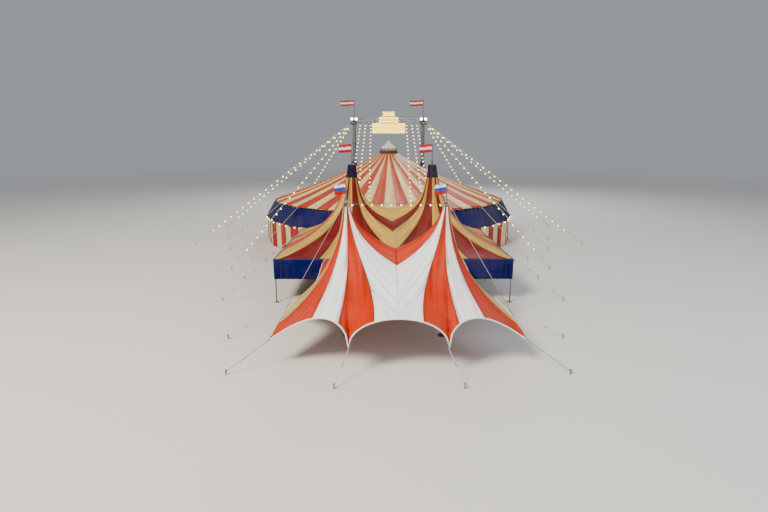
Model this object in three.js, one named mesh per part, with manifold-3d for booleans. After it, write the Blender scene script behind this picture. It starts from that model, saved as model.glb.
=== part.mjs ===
// A circus tent in three joined parts, at half size: the round big top, the two-peaked foyer
// tent before it and the two-peaked entrance canopy before that.
// The entrance faces -Y, and the origin is on the ground in the middle of the whole.
import * as THREE from 'three';
import { mergeVertices } from 'three/addons/utils/BufferGeometryUtils.js';
import Module from 'manifold-3d';

const wasm = await Module();
wasm.setup();

// Driving dimensions. m is one metre of the real tent in the millimetres of this model.
// Places are measured from the middle of the big top.
const m = 500;
const GAP = 0.3;
const CLOTH = 20;
const ROPE = 7;
const rad = THREE.MathUtils.degToRad;
// How far a six-sided bar's flat side lies from its middle, as a share of its radius.
const FLAT = Math.cos(Math.PI / 6);

const MAIN = {
  bays: 20,
  eaveRadius: 10.8 * m,
  eaveHeight: 3.8 * m,
  ringRadius: 0.8 * m,
  ringHeight: 7.97 * m,
  sag: 0.3 * m,
  skirtRadius: 11.7 * m,
  skirtBottom: 2.2 * m,
  wallTop: 2.3 * m,
  poleRadius: 0.04 * m,
  railRadius: 0.03 * m,
  stakeRadius: 15.3 * m,
};
const BAY = 360 / MAIN.bays;
// The rail lies just inside the eave's edge and under its cloth. The skirt starts lower down on
// the poles, and skirtRadius is its outer radius at any height.
const RAIL_INSET = 12;
const RAIL_DROP = 1;
const SKIRT_DROP = 52;
const POLE_ROOM = 0.7;
const WALL_ROOM = 0.5;
const RAIL = {
  radius: MAIN.eaveRadius - RAIL_INSET,
  height: MAIN.eaveHeight - CLOTH - GAP - MAIN.railRadius - RAIL_DROP,
};
const SKIRT_TOP = RAIL.height - SKIRT_DROP;
function skirtRadius(height) {
  const top = RAIL.radius + MAIN.poleRadius + POLE_ROOM + CLOTH;
  const share = (SKIRT_TOP - height) / (SKIRT_TOP - MAIN.skirtBottom);
  return top + (MAIN.skirtRadius - top) * share;
}

const CUPOLA = { ringTop: 8.2 * m, capRadius: 0.73 * m, capBottom: 8.41 * m, apex: 9.16 * m };
const BRIDGE = {
  mastX: 3.25 * m,
  mastRadius: 0.16 * m,
  headBottom: 10.65 * m,
  headTop: 11.25 * m,
  headHalf: 0.25 * m,
  poleTop: 12.85 * m,
  chordBottom: 10.75 * m,
  chordTop: 11.15 * m,
  depth: 0.4 * m,
  chord: 0.03 * m,
  stayRadius: 18 * m,
  stayAngles: [-50, -15, 15, 50],
  collarLow: 10.7 * m,
  collarHigh: 10.82 * m,
  // Half width, lower edge and upper edge of each step of the light board.
  board: [
    [1.55 * m, 9.8 * m, 10.7 * m],
    [0.9 * m, 10.65 * m, 11.3 * m],
    [0.55 * m, 11.25 * m, 11.76 * m],
  ],
  boardDepth: 0.18 * m,
};
// The entrance cloth's rear edge passes this far under the foyer's.
const UNDER = 6;
const FOYER_EAVE = 2.55 * m;
const FOYER_RAIL = FOYER_EAVE - CLOTH - GAP - MAIN.railRadius;
const FOYER = {
  mast: [2.55 * m, -17 * m],
  mastRadius: 0.1 * m,
  peak: 7.6 * m,
  poleTop: 8.9 * m,
  crown: 0.26 * m,
  halfWidth: 6.7 * m,
  front: -21.8 * m,
  rear: -(skirtRadius(FOYER_RAIL - MAIN.railRadius / 2) * Math.cos(rad(BAY / 2))
    + MAIN.railRadius * FLAT + GAP),
  passage: 3.95 * m,
  eave: FOYER_EAVE,
  saddle: 4.87 * m,
  valanceBottom: 1.4 * m,
};
const ENTRANCE = {
  mast: [2.25 * m, -27 * m],
  mastRadius: 0.08 * m,
  peak: 6.16 * m,
  poleTop: 7.2 * m,
  crown: 0.15 * m,
  saddle: 4.25 * m,
  archTop: 2.4 * m,
  innerTip: [1.95 * m, -31.4 * m, 1.2 * m],
  cornerTip: [5.2 * m, -30.5 * m, 1.2 * m],
  sideTip: [5.0 * m, -26.0 * m, 1.3 * m],
  // The height that the cloth heads for inside each tip, which is pulled down at the hem alone.
  innerBody: 2.2 * m,
  cornerBody: 1.4 * m,
  sideBody: 1.4 * m,
  rearCorner: [3.9 * m, FOYER.front - MAIN.railRadius * FLAT - GAP, FOYER.eave - CLOTH - UNDER],
  innerStake: [2.45 * m, -32.4 * m],
  cornerStake: [6.83 * m, -31.2 * m],
  sideStake: [7.85 * m, -27.4 * m],
};

const COLOUR = {
  cloth: 0xc8401c, navy: 0x141c54, striped: 0xd8cdb8, steel: 0x8a8c90, rope: 0xd9d2c0,
  lit: 0xffe9b0, cap: 0xe8e2d0,
};
const tent = new THREE.Group();

// Adds one named piece.
function add(name, geometry, colour, metalness = 0, roughness = 0.8) {
  const material = new THREE.MeshStandardMaterial({ color: colour, metalness, roughness });
  const mesh = new THREE.Mesh(geometry, material);
  mesh.name = name;
  tent.add(mesh);
}

// A closed surface as a manifold solid.
function solid(geometry) {
  const bare = geometry.clone();
  bare.deleteAttribute('normal');
  bare.deleteAttribute('uv');
  const merged = mergeVertices(bare, 1e-3);
  return new wasm.Manifold(new wasm.Mesh({
    numProp: 3,
    vertProperties: new Float32Array(merged.attributes.position.array),
    triVerts: new Uint32Array(merged.index.array),
  }));
}

// A manifold solid as a geometry.
function surface(body) {
  const mesh = body.getMesh();
  const geometry = new THREE.BufferGeometry();
  geometry.setAttribute('position', new THREE.BufferAttribute(mesh.vertProperties, 3));
  geometry.setIndex(new THREE.BufferAttribute(mesh.triVerts, 1));
  return geometry;
}

function fuse(geometries) {
  return surface(geometries.map(solid).reduce((all, next) => all.add(next)));
}

// A straight bar between two points.
function bar(from, to, radius, sides = 6) {
  const along = to.clone().sub(from);
  const geometry = new THREE.CylinderGeometry(radius, radius, along.length(), sides);
  const up = new THREE.Vector3(0, 1, 0);
  geometry.applyQuaternion(new THREE.Quaternion().setFromUnitVectors(up, along.normalize()));
  geometry.translate(...from.clone().add(to).multiplyScalar(0.5).toArray());
  return geometry;
}

function box(x0, x1, y0, y1, z0, z1) {
  const geometry = new THREE.BoxGeometry(x1 - x0, y1 - y0, z1 - z0);
  geometry.translate((x0 + x1) / 2, (y0 + y1) / 2, (z0 + z1) / 2);
  return geometry;
}

// A turned piece: outline holds radius and height, from the foot of its axis to the top.
function turned(outline, x, y, sides = 12) {
  const points = outline.map(([radius, height]) => new THREE.Vector2(radius, height));
  const geometry = new THREE.LatheGeometry(points, sides);
  geometry.rotateX(Math.PI / 2);
  geometry.rotateZ(Math.PI / sides);
  geometry.translate(x, y, 0);
  return geometry;
}

// A slab between two grids of points that have the same rows and columns. The columns of a
// round slab go all the way round.
function slab(upper, lower, round = false) {
  const rows = upper.length;
  const columns = upper[0].length;
  const positions = [...upper.flat(), ...lower.flat()].flatMap((point) => point.toArray());
  const under = rows * columns;
  const last = (rows - 1) * columns;
  const index = [];
  const quad = (a, b, c, d) => index.push(a, b, c, a, c, d);
  for (let j = 0; j < (round ? columns : columns - 1); j += 1) {
    const next = (j + 1) % columns;
    for (let i = 0; i < rows - 1; i += 1) {
      const [a, b] = [i * columns, (i + 1) * columns];
      quad(a + j, b + j, b + next, a + next);
      quad(under + a + j, under + a + next, under + b + next, under + b + j);
    }
    quad(j, next, under + next, under + j);
    quad(last + next, last + j, under + last + j, under + last + next);
  }
  for (let i = 0; !round && i < rows - 1; i += 1) {
    const [a, b] = [i * columns, (i + 1) * columns];
    const end = columns - 1;
    quad(b, a, under + a, under + b);
    quad(a + end, b + end, under + b + end, under + a + end);
  }
  const geometry = new THREE.BufferGeometry();
  geometry.setAttribute('position', new THREE.Float32BufferAttribute(positions, 3));
  geometry.setIndex(index);
  return outward(geometry);
}

// Turns every face round if the solid is inside out.
function outward(geometry) {
  const place = geometry.attributes.position;
  const index = geometry.index.array;
  const [a, b, c] = [new THREE.Vector3(), new THREE.Vector3(), new THREE.Vector3()];
  let volume = 0;
  for (let i = 0; i < index.length; i += 3) {
    a.fromBufferAttribute(place, index[i]);
    b.fromBufferAttribute(place, index[i + 1]);
    c.fromBufferAttribute(place, index[i + 2]);
    volume += a.dot(b.cross(c));
  }
  if (volume < 0) {
    for (let i = 0; i < index.length; i += 3) {
      [index[i], index[i + 1]] = [index[i + 1], index[i]];
    }
  }
  return geometry;
}

function mirrored(point) {
  return new THREE.Vector3(-point.x, point.y, point.z);
}

// A ground stake with the rope that it holds.
function stake(x, y) {
  return box(x - 0.05 * m, x + 0.05 * m, y - 0.05 * m, y + 0.05 * m, 0, 0.22 * m);
}

const guyFoot = (x, y) => new THREE.Vector3(x, y, 0.16 * m);

// The big top's plan is a polygon with one side for each bay. bayAngle is a pole's angle.
const GORE = BAY / 3;
const SECTORS = { front: -135, right: -45, back: 45, left: 135 };
const FIRST_POLE = -90 - BAY / 2;

// A point on the polygon whose corners lie at the given radius.
function onPlan(radius, angle, height) {
  const fromMiddle = ((((angle - FIRST_POLE) % BAY) + BAY) % BAY) - BAY / 2;
  const flat = (radius * Math.cos(rad(BAY / 2))) / Math.cos(rad(fromMiddle));
  return new THREE.Vector3(flat * Math.cos(rad(angle)), flat * Math.sin(rad(angle)), height);
}

// Part of a ring of cloth, from start to end in degrees. Each profile point holds an outer
// radius and a height, and the slab is shifted by inward for its other face.
function ringCloth(profile, start, end, step, inward) {
  const trim = THREE.MathUtils.radToDeg(GAP / 2 / profile[0][0]);
  const count = Math.round((end - start) / step);
  const grid = (shift) => profile.map(([radius, height]) => {
    const row = [];
    for (let j = 0; j <= count; j += 1) {
      const angle = start + trim + ((end - start - 2 * trim) * j) / count;
      row.push(onPlan(radius - shift[0], angle, height - shift[1]));
    }
    return row;
  });
  return slab(grid([0, 0]), grid(inward));
}

// The big top's roof of striped gores, in four sectors, with a hole for each mast.
function roofHeight(share) {
  const straight = MAIN.ringHeight - (MAIN.ringHeight - MAIN.eaveHeight) * share;
  return straight - MAIN.sag * 4 * share * (1 - share);
}

// Room round a mast where it passes through the cloth.
const MAST_ROOM = 6;

function roofs() {
  const profile = [0, 0.18, 0.38, 0.6, 0.8, 1].map((share) => [
    MAIN.ringRadius + (MAIN.eaveRadius - MAIN.ringRadius) * share, roofHeight(share),
  ]);
  for (const [name, start] of Object.entries(SECTORS)) {
    let cloth = ringCloth(profile, start, start + 90, GORE, [0, CLOTH]);
    const side = { left: -1, right: 1 }[name];
    if (side) {
      const x = side * BRIDGE.mastX;
      const hole = bar(new THREE.Vector3(x, 0, 0), new THREE.Vector3(x, 0, MAIN.ringHeight),
        BRIDGE.mastRadius + MAST_ROOM, 16);
      cloth = surface(solid(cloth).subtract(solid(hole)));
    }
    add(`main_roof_${name}`, cloth, COLOUR.cloth);
  }
}

// The cupola: a ring on the roof's top edge that cables hold to the bridge, with posts that
// carry a small conical cap.
function cupola() {
  const inner = MAIN.ringRadius - 0.16 * m;
  const outer = MAIN.ringRadius + 0.05 * m;
  const foot = MAIN.ringHeight + GAP;
  const ring = turned([[inner, foot], [outer, foot], [outer, CUPOLA.ringTop],
    [inner, CUPOLA.ringTop], [inner, foot]], 0, 0, 24);
  const pieces = [ring];
  const hoistY = BRIDGE.depth / 2 - BRIDGE.chord;
  const hoistX = Math.sqrt((outer - 0.03 * m) ** 2 - hoistY ** 2);
  const hoistTop = BRIDGE.chordBottom - GAP;
  for (const [x, y] of [[1, 1], [1, -1], [-1, 1], [-1, -1]]) {
    pieces.push(bar(new THREE.Vector3(x * hoistX, y * hoistY, CUPOLA.ringTop - 0.1 * m),
      new THREE.Vector3(x * hoistX, y * hoistY, hoistTop), 0.01 * m, 6));
  }
  const postRadius = MAIN.ringRadius - 0.1 * m;
  for (let k = 0; k < 8; k += 1) {
    const x = postRadius * Math.cos((k * Math.PI) / 4);
    const y = postRadius * Math.sin((k * Math.PI) / 4);
    pieces.push(bar(new THREE.Vector3(x, y, CUPOLA.ringTop - 0.05 * m),
      new THREE.Vector3(x, y, CUPOLA.capBottom - GAP), 0.03 * m, 8));
  }
  add('cupola_ring', fuse(pieces), COLOUR.cloth);
  const rim = CUPOLA.capRadius;
  add('cupola_cap', turned([[0, CUPOLA.capBottom], [rim, CUPOLA.capBottom],
    [rim, CUPOLA.capBottom + 0.05 * m], [rim * 0.5, CUPOLA.capBottom + 0.36 * m],
    [0.02 * m, CUPOLA.apex], [0, CUPOLA.apex]], 0, 0, 24), COLOUR.cap);
}

// A mast with a foot plate, a head and a flagpole.
function mainMast(name, x) {
  const { mastRadius, headBottom, headTop, headHalf, poleTop } = BRIDGE;
  const shaft = turned([[0, 0], [0.4 * m, 0], [0.4 * m, 0.06 * m], [mastRadius, 0.06 * m],
    [mastRadius, headTop], [0.035 * m, headTop], [0.035 * m, poleTop], [0, poleTop]], x, 0);
  const head = box(x - headHalf, x + headHalf, -headHalf, headHalf, headBottom, headTop);
  add(name, fuse([shaft, head]), COLOUR.steel, 0.6, 0.5);
}

// The lattice bridge between the two mast heads.
function bridge() {
  const end = BRIDGE.mastX - BRIDGE.headHalf - GAP;
  const half = BRIDGE.depth / 2;
  const { chord } = BRIDGE;
  const low = BRIDGE.chordBottom + chord;
  const high = BRIDGE.chordTop - chord;
  const lines = [];
  for (const y of [-half + chord, half - chord]) {
    for (const z of [low, high]) {
      lines.push(bar(new THREE.Vector3(-end, y, z), new THREE.Vector3(end, y, z), chord));
    }
    const steps = 10;
    for (let k = 0; k < steps; k += 1) {
      const x0 = -end + chord + ((2 * end - 2 * chord) * k) / steps;
      const x1 = -end + chord + ((2 * end - 2 * chord) * (k + 1)) / steps;
      const [z0, z1] = k % 2 ? [high, low] : [low, high];
      lines.push(bar(new THREE.Vector3(x0, y, z0), new THREE.Vector3(x1, y, z1), 0.018 * m, 4));
    }
  }
  for (const x of [-end + chord, 0, end - chord]) {
    for (const z of [low, high]) {
      lines.push(bar(new THREE.Vector3(x, -half + chord, z),
        new THREE.Vector3(x, half - chord, z), 0.02 * m));
    }
  }
  add('bridge_truss', fuse(lines), COLOUR.steel, 0.7, 0.45);
}

// The stepped light board on the front of the bridge, with plain faces.
function lightBoard() {
  const back = -BRIDGE.depth / 2 + BRIDGE.chord * (1 - FLAT) - GAP;
  const front = back - BRIDGE.boardDepth;
  add('light_board', fuse(BRIDGE.board.map(([half, low, high]) => (
    box(-half, half, front, back, low, high)))), COLOUR.lit);
}

// Two floodlamps on a bracket at the front of a mast head.
function floodlamps(name, x) {
  const back = -BRIDGE.headHalf - GAP;
  const pieces = [box(x - 0.32 * m, x + 0.32 * m, back - 0.06 * m, back, 10.95 * m, 11.03 * m)];
  for (const side of [-1, 1]) {
    const middle = x + side * 0.2 * m;
    pieces.push(box(middle - 0.13 * m, middle + 0.13 * m, back - 0.26 * m, back - 0.05 * m,
      10.98 * m, 11.22 * m));
  }
  add(name, fuse(pieces), COLOUR.steel, 0.4, 0.5);
}

// A flag that streams to -X from its pole, with a wave along it.
function flag(name, x, y, pole, top, length, height, colour) {
  const steps = 8;
  const half = 4;
  const wave = (s) => 0.07 * m * Math.sin(s * Math.PI * 2) * s;
  const edge = (s, side) => new THREE.Vector2(x - pole - GAP - s * length, y + wave(s) + side);
  const outline = [];
  for (let k = 0; k <= steps; k += 1) outline.push(edge(k / steps, half));
  for (let k = steps; k >= 0; k -= 1) outline.push(edge(k / steps, -half));
  const geometry = new THREE.ExtrudeGeometry(new THREE.Shape(outline),
    { depth: height, bevelEnabled: false });
  geometry.translate(0, 0, top - height);
  add(name, geometry, colour);
}

// The navy skirt that flares from the eave poles over the top of the lower wall.
function skirts() {
  const profile = [[skirtRadius(SKIRT_TOP), SKIRT_TOP], [MAIN.skirtRadius, MAIN.skirtBottom]];
  for (const [name, start] of Object.entries(SECTORS)) {
    add(`main_skirt_${name}`, ringCloth(profile, start, start + 90, BAY, [CLOTH, 0]), COLOUR.navy);
  }
}

// The striped lower wall stands inside the skirt's edge. The front bay is the doorway.
function walls() {
  const radius = skirtRadius(MAIN.wallTop) - CLOTH - WALL_ROOM;
  const profile = [[radius, MAIN.wallTop], [radius, 0]];
  const parts = { right: [-90 + BAY / 2, 45], back: [45, 135], left: [135, 270 - BAY / 2] };
  for (const [name, [start, end]] of Object.entries(parts)) {
    add(`main_wall_${name}`, ringCloth(profile, start, end, BAY, [CLOTH, 0]), COLOUR.striped);
  }
}

// The eave poles with their rail, guy ropes and stakes, one frame to each sector. The bays
// that open on the foyer tent have no guys.
function eaveFrames() {
  const bays = MAIN.bays / 4;
  for (const [name, start] of Object.entries(SECTORS)) {
    const pieces = [];
    for (let k = 0; k < bays; k += 1) {
      const angle = start + k * BAY;
      const top = onPlan(RAIL.radius, angle, RAIL.height);
      const next = onPlan(RAIL.radius, angle + BAY, RAIL.height);
      if (k === bays - 1) {
        const back = next.clone().sub(top).setLength(MAIN.poleRadius + GAP);
        next.sub(back);
      }
      pieces.push(bar(top.clone().setZ(0), top.clone().setZ(MAIN.eaveHeight - CLOTH - GAP),
        MAIN.poleRadius, 8));
      pieces.push(bar(top, next, MAIN.railRadius));
      if (name !== 'front' || k === 0) {
        const x = MAIN.stakeRadius * Math.cos(rad(angle));
        const y = MAIN.stakeRadius * Math.sin(rad(angle));
        pieces.push(bar(top, guyFoot(x, y), ROPE), stake(x, y));
      }
    }
    add(`eave_frame_${name}`, fuse(pieces), COLOUR.steel, 0.5, 0.6);
  }
}

// A collar round a mast head and the stays that run from it to the ground.
function mastStays(name, side) {
  const x = side * BRIDGE.mastX;
  const hole = BRIDGE.headHalf + GAP;
  const outer = hole + 0.06 * m;
  const [low, high] = [BRIDGE.collarLow, BRIDGE.collarHigh];
  const reach = (from, to) => (side > 0 ? [x + from, x + to] : [x - to, x - from]);
  const collar = [box(...reach(hole, outer), -outer, outer, low, high)];
  for (const y of [-outer, hole]) {
    collar.push(box(...reach(-0.1 * m, outer), y, y + outer - hole, low, high));
  }
  for (const angle of BRIDGE.stayAngles) {
    const footX = side * BRIDGE.stayRadius * Math.cos(rad(angle));
    const footY = BRIDGE.stayRadius * Math.sin(rad(angle));
    const start = new THREE.Vector3(x + side * (outer - 0.03 * m),
      Math.sign(angle) * (Math.abs(angle) > 30 ? outer - 0.03 * m : 0.1 * m), (low + high) / 2);
    collar.push(bar(start, guyFoot(footX, footY), ROPE + 2), stake(footX, footY));
  }
  add(name, fuse(collar), COLOUR.rope);
}

// How soon a pulled-down tip fades out up the cloth, as a power of the radius.
const TIP_REACH = 4;

// Half of a canopy with two peaks. Its cloth runs from a crown round the mast to an edge that
// edgePoints walks round, and rises as a horn: height falls as radius to the power -bend.
// Away from the edge it heads for the height body, which leaves out the pull of the tips.
function halfCanopy(name, side, { mast, crown, peak }, edgePoints, rows) {
  const ring = crown + GAP;
  const middle = new THREE.Vector3(mast[0], mast[1], 0);
  const upper = rows.map((share) => edgePoints.map(({ point, body, bend }) => {
    const reach = point.clone().sub(middle).setZ(0);
    const radius = reach.length();
    const here = ring * (radius / ring) ** share;
    const power = (value) => value ** -bend;
    const rise = (power(here) - power(radius)) / (power(ring) - power(radius));
    const foot = body + (point.z - body) * (here / radius) ** TIP_REACH;
    const place = middle.clone().add(reach.setLength(here));
    return place.setZ(foot + (peak - foot) * rise);
  }));
  const lower = upper.map((row) => row.map((p) => p.clone().setZ(p.z - CLOTH)));
  const turn = (grid) => (side > 0 ? grid : grid.map((row) => row.map(mirrored)));
  add(name, slab(turn(upper), turn(lower), true), COLOUR.cloth);
}

const ROWS = [0, 0.18, 0.34, 0.5, 0.65, 0.78, 0.9, 1];
const SEAM_X = GAP / 2;

// Points from a to b, without b. The edge bows in to the mast by bow, and its height is the
// straight line's plus rise times shape(s). body and bend run from their first to their last
// value, and body takes a share of the rise.
function edgeRun(a, b, count, {
  rise = 0, bow = 0, shape = () => 0, mast, bend, body = [a[2], b[2]], bodyShare = 0.35,
}) {
  const middle = new THREE.Vector3(mast[0], mast[1], 0);
  const points = [];
  for (let k = 0; k < count; k += 1) {
    const s = k / count;
    const point = new THREE.Vector3(...a).lerp(new THREE.Vector3(...b), s);
    const inward = middle.clone().sub(point.clone().setZ(0)).normalize();
    point.addScaledVector(inward, bow * Math.sin(Math.PI * s));
    point.z += rise * shape(s);
    points.push({
      point,
      body: body[0] + (body[1] - body[0]) * s + bodyShare * rise * shape(s),
      bend: bend[0] + (bend[1] - bend[0]) * s,
    });
  }
  return points;
}

// Arch shapes along an edge, s from 0 to 1: steep beside the first tip and long to the second,
// the same on both sides, and the half of an arch that comes down from the seam.
const leaningArch = (s) => ((1 - s) * s ** 0.45) / 0.407;
const evenArch = (s) => Math.sin(Math.PI * s) ** 0.8;
const seamArch = (s) => (1 - s ** 2) ** 0.45 - (1 - s);

// The entrance canopy's edge on the right side, from the seam's middle to the front and round.
function entranceEdge() {
  const {
    mast, saddle, archTop, innerTip, cornerTip, sideTip, rearCorner,
    innerBody, cornerBody, sideBody,
  } = ENTRANCE;
  const top = [SEAM_X, mast[1], saddle];
  const front = [SEAM_X, innerTip[1], archTop];
  const rear = [SEAM_X, rearCorner[1], rearCorner[2]];
  const cloth = { mast, bend: [-0.2, -0.2] };
  const frontArch = {
    ...cloth, rise: archTop - innerTip[2], shape: seamArch, body: [archTop, innerBody],
    bodyShare: 0,
  };
  const sideArch = {
    ...cloth, rise: 1.1 * m, bow: 0.1 * m, shape: leaningArch, body: [innerBody, cornerBody],
  };
  const sideHem = {
    ...cloth, rise: 0.8 * m, bow: 0.6 * m, shape: evenArch, body: [cornerBody, sideBody],
  };
  const rearHem = {
    ...cloth, rise: 0.2 * m, bow: 0.8 * m, shape: evenArch, body: [sideBody, rearCorner[2]],
  };
  return [
    ...edgeRun(top, front, 5, cloth),
    ...edgeRun(front, innerTip, 6, frontArch),
    ...edgeRun(innerTip, cornerTip, 8, sideArch),
    ...edgeRun(cornerTip, sideTip, 6, sideHem),
    ...edgeRun(sideTip, rearCorner, 5, rearHem),
    ...edgeRun(rearCorner, rear, 3, cloth),
    ...edgeRun(rear, top, 5, cloth),
  ];
}

// The foyer tent's edge, in the same order. The ridge between its masts hangs deep.
function foyerEdge() {
  const { mast, saddle, halfWidth, front, rear, eave } = FOYER;
  const top = [SEAM_X, mast[1], saddle];
  const places = [
    [top, 5, [1, 0.4]],
    [[SEAM_X, front, eave], 7, [0.4, 0.05]],
    [[halfWidth, front, eave], 8, [0.05, 0.05]],
    [[halfWidth, rear, eave], 7, [0.05, 0.4]],
    [[SEAM_X, rear, eave], 5, [0.4, 1]],
  ];
  return places.flatMap(([from, count, bend], k) => (
    edgeRun(from, (places[k + 1] ?? [top])[0], count, { mast, bend })));
}

// The largest crown that fits inside the straight sides of the cloth's inner ring.
function crownInside({ mast, crown }, edgePoints) {
  const angles = edgePoints.map(({ point }) => Math.atan2(point.y - mast[1], point.x - mast[0]));
  const steps = angles.map((angle, k) => {
    const turn = Math.abs(angles[(k + 1) % angles.length] - angle);
    return Math.min(turn, 2 * Math.PI - turn);
  });
  return (crown + GAP) * Math.cos(Math.max(...steps) / 2) - GAP;
}

// A mast of one of the peaked tents: foot plate, tube, crown, cap and flagpole.
function peakMast(name, side, { mast, peak, poleTop, mastRadius }, crown) {
  const [x, y] = mast;
  const foot = 3 * mastRadius;
  const cap = 0.6 * mastRadius;
  const pole = 0.03 * m;
  add(name, turned([[0, 0], [foot, 0], [foot, 0.04 * m], [mastRadius, 0.04 * m],
    [mastRadius, peak - 0.3 * m], [crown, peak - 0.06 * m], [crown, peak], [cap, peak + 0.06 * m],
    [cap, peak + 0.34 * m], [pole, peak + 0.34 * m], [pole, poleTop], [0, poleTop]],
  side * x, y), COLOUR.steel, 0.6, 0.5);
}

// The foyer tent's side frame: eave rails round its half, poles under them, and guy ropes.
function foyerFrame(name, side) {
  const { halfWidth, front, rear, passage } = FOYER;
  const at = (x, y, z) => new THREE.Vector3(side * x, y, z);
  const corners = [[SEAM_X, front], [halfWidth, front], [halfWidth, rear], [SEAM_X, rear]];
  const pieces = [];
  for (let k = 0; k < 3; k += 1) {
    pieces.push(bar(at(...corners[k], FOYER_RAIL), at(...corners[k + 1], FOYER_RAIL),
      MAIN.railRadius));
  }
  const middle = (front + rear) / 2;
  const poles = [[passage, front], corners[1], [halfWidth, middle], corners[2], [passage, rear]];
  for (const [x, y] of poles) {
    pieces.push(bar(at(x, y, 0), at(x, y, FOYER_RAIL + MAIN.railRadius / 3),
      MAIN.poleRadius, 8));
  }
  for (const [x, y, footX, footY] of [
    [...corners[1], 9.9 * m, front + 0.3 * m],
    [halfWidth, middle, 9.9 * m, middle],
    [...corners[2], 9.6 * m, rear - 0.1 * m],
  ]) {
    pieces.push(bar(at(x, y, FOYER_RAIL), guyFoot(side * footX, footY), ROPE),
      stake(side * footX, footY));
  }
  add(name, fuse(pieces), COLOUR.steel, 0.5, 0.6);
}

// The navy valance hangs outside the poles, round a front corner and along the side. Its top
// stays this far below the rail, where the guy ropes pass over it.
const VALANCE_DROP = 0.1 * m;

function foyerValance(name, side) {
  const { halfWidth, front, rear, passage, valanceBottom } = FOYER;
  const inner = MAIN.poleRadius + GAP;
  const outer = inner + CLOTH;
  const outline = [
    [passage, front - outer], [halfWidth + outer, front - outer], [halfWidth + outer, rear],
    [halfWidth + inner, rear], [halfWidth + inner, front - inner], [passage, front - inner],
  ].map(([x, y]) => new THREE.Vector2(side * x, y));
  const top = FOYER_RAIL - VALANCE_DROP;
  const geometry = new THREE.ExtrudeGeometry(new THREE.Shape(outline),
    { depth: top - valanceBottom, bevelEnabled: false });
  geometry.translate(0, 0, valanceBottom);
  add(name, geometry, COLOUR.navy);
}

// A shackle just outside a canopy's tip, with the guy rope that it holds and the stake.
function tipGuy(side, tip, foot) {
  const { mast } = ENTRANCE;
  const radius = 0.04 * m;
  const outwards = new THREE.Vector3(tip[0] - mast[0], tip[1] - mast[1], 0).normalize();
  const middle = new THREE.Vector3(...tip).addScaledVector(outwards, radius + GAP);
  const low = middle.clone().setZ(tip[2] - CLOTH - 2);
  const high = middle.clone().setZ(tip[2] + 2);
  const centre = middle.clone().setZ(tip[2] - CLOTH / 2);
  const place = (point) => (side > 0 ? point : mirrored(point));
  const [x, y] = [side * foot[0], foot[1]];
  return {
    centre: place(centre),
    pieces: [
      bar(place(low), place(high), radius, 16),
      bar(place(centre), guyFoot(x, y), ROPE),
      stake(x, y),
    ],
  };
}

// The corner's guy goes on up as a stay to a collar over the crown of the mast.
function cornerStay(name, side) {
  const { mast, peak, mastRadius, cornerTip, cornerStake } = ENTRANCE;
  const { centre, pieces } = tipGuy(side, cornerTip, cornerStake);
  const inner = 0.6 * mastRadius + GAP;
  const outer = inner + 0.04 * m;
  const [low, high] = [peak + 0.2 * m, peak + 0.26 * m];
  pieces.push(turned([[inner, low], [outer, low], [outer, high], [inner, high], [inner, low]],
    side * mast[0], mast[1]));
  const outwards = centre.clone().sub(new THREE.Vector3(side * mast[0], mast[1], 0)).setZ(0);
  const start = outwards.setLength((inner + outer) / 2 + 5)
    .add(new THREE.Vector3(side * mast[0], mast[1], (low + high) / 2));
  pieces.push(bar(start, centre, ROPE));
  add(name, fuse(pieces), COLOUR.rope);
}

// The cable between the caps of the entrance masts.
function ridgeCable() {
  const { mast, peak, mastRadius } = ENTRANCE;
  const end = mast[0] - 0.6 * mastRadius * Math.cos(Math.PI / 12) - GAP;
  const height = peak + 0.12 * m;
  add('entrance_ridge_cable', bar(new THREE.Vector3(-end, mast[1], height),
    new THREE.Vector3(end, mast[1], height), ROPE), COLOUR.rope);
}

roofs();
cupola();
bridge();
lightBoard();
skirts();
walls();
eaveFrames();
ridgeCable();

for (const [word, side] of [['left', -1], ['right', 1]]) {
  mainMast(`main_mast_${word}`, side * BRIDGE.mastX);
  floodlamps(`floodlamps_${word}`, side * BRIDGE.mastX);
  mastStays(`mast_stays_${word}`, side);
  flag(`main_flag_${word}`, side * BRIDGE.mastX, 0, 0.035 * m, BRIDGE.poleTop - 0.02 * m,
    1.25 * m, 0.5 * m, COLOUR.cloth);

  halfCanopy(`foyer_canopy_${word}`, side, FOYER, foyerEdge(), ROWS);
  peakMast(`foyer_mast_${word}`, side, FOYER, crownInside(FOYER, foyerEdge()));
  foyerFrame(`foyer_frame_${word}`, side);
  foyerValance(`foyer_valance_${word}`, side);
  flag(`foyer_flag_${word}`, side * FOYER.mast[0], FOYER.mast[1], 0.03 * m,
    FOYER.poleTop - 0.02 * m, 0.8 * m, 0.5 * m, COLOUR.cloth);

  halfCanopy(`entrance_canopy_${word}`, side, ENTRANCE, entranceEdge(), ROWS);
  peakMast(`entrance_mast_${word}`, side, ENTRANCE, crownInside(ENTRANCE, entranceEdge()));
  cornerStay(`entrance_corner_stay_${word}`, side);
  add(`entrance_front_guy_${word}`,
    fuse(tipGuy(side, ENTRANCE.innerTip, ENTRANCE.innerStake).pieces), COLOUR.rope);
  add(`entrance_side_guy_${word}`,
    fuse(tipGuy(side, ENTRANCE.sideTip, ENTRANCE.sideStake).pieces), COLOUR.rope);
  flag(`entrance_flag_${word}`, side * ENTRANCE.mast[0], ENTRANCE.mast[1], 0.03 * m,
    ENTRANCE.poleTop - 0.02 * m, 0.5 * m, 0.45 * m, COLOUR.cloth);
}

// The origin moves to the middle of the whole, from the middle of the big top.
tent.updateMatrixWorld(true);
const whole = new THREE.Box3().setFromObject(tent, true);
tent.position.y = -(whole.min.y + whole.max.y) / 2;

export default tent;
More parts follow.
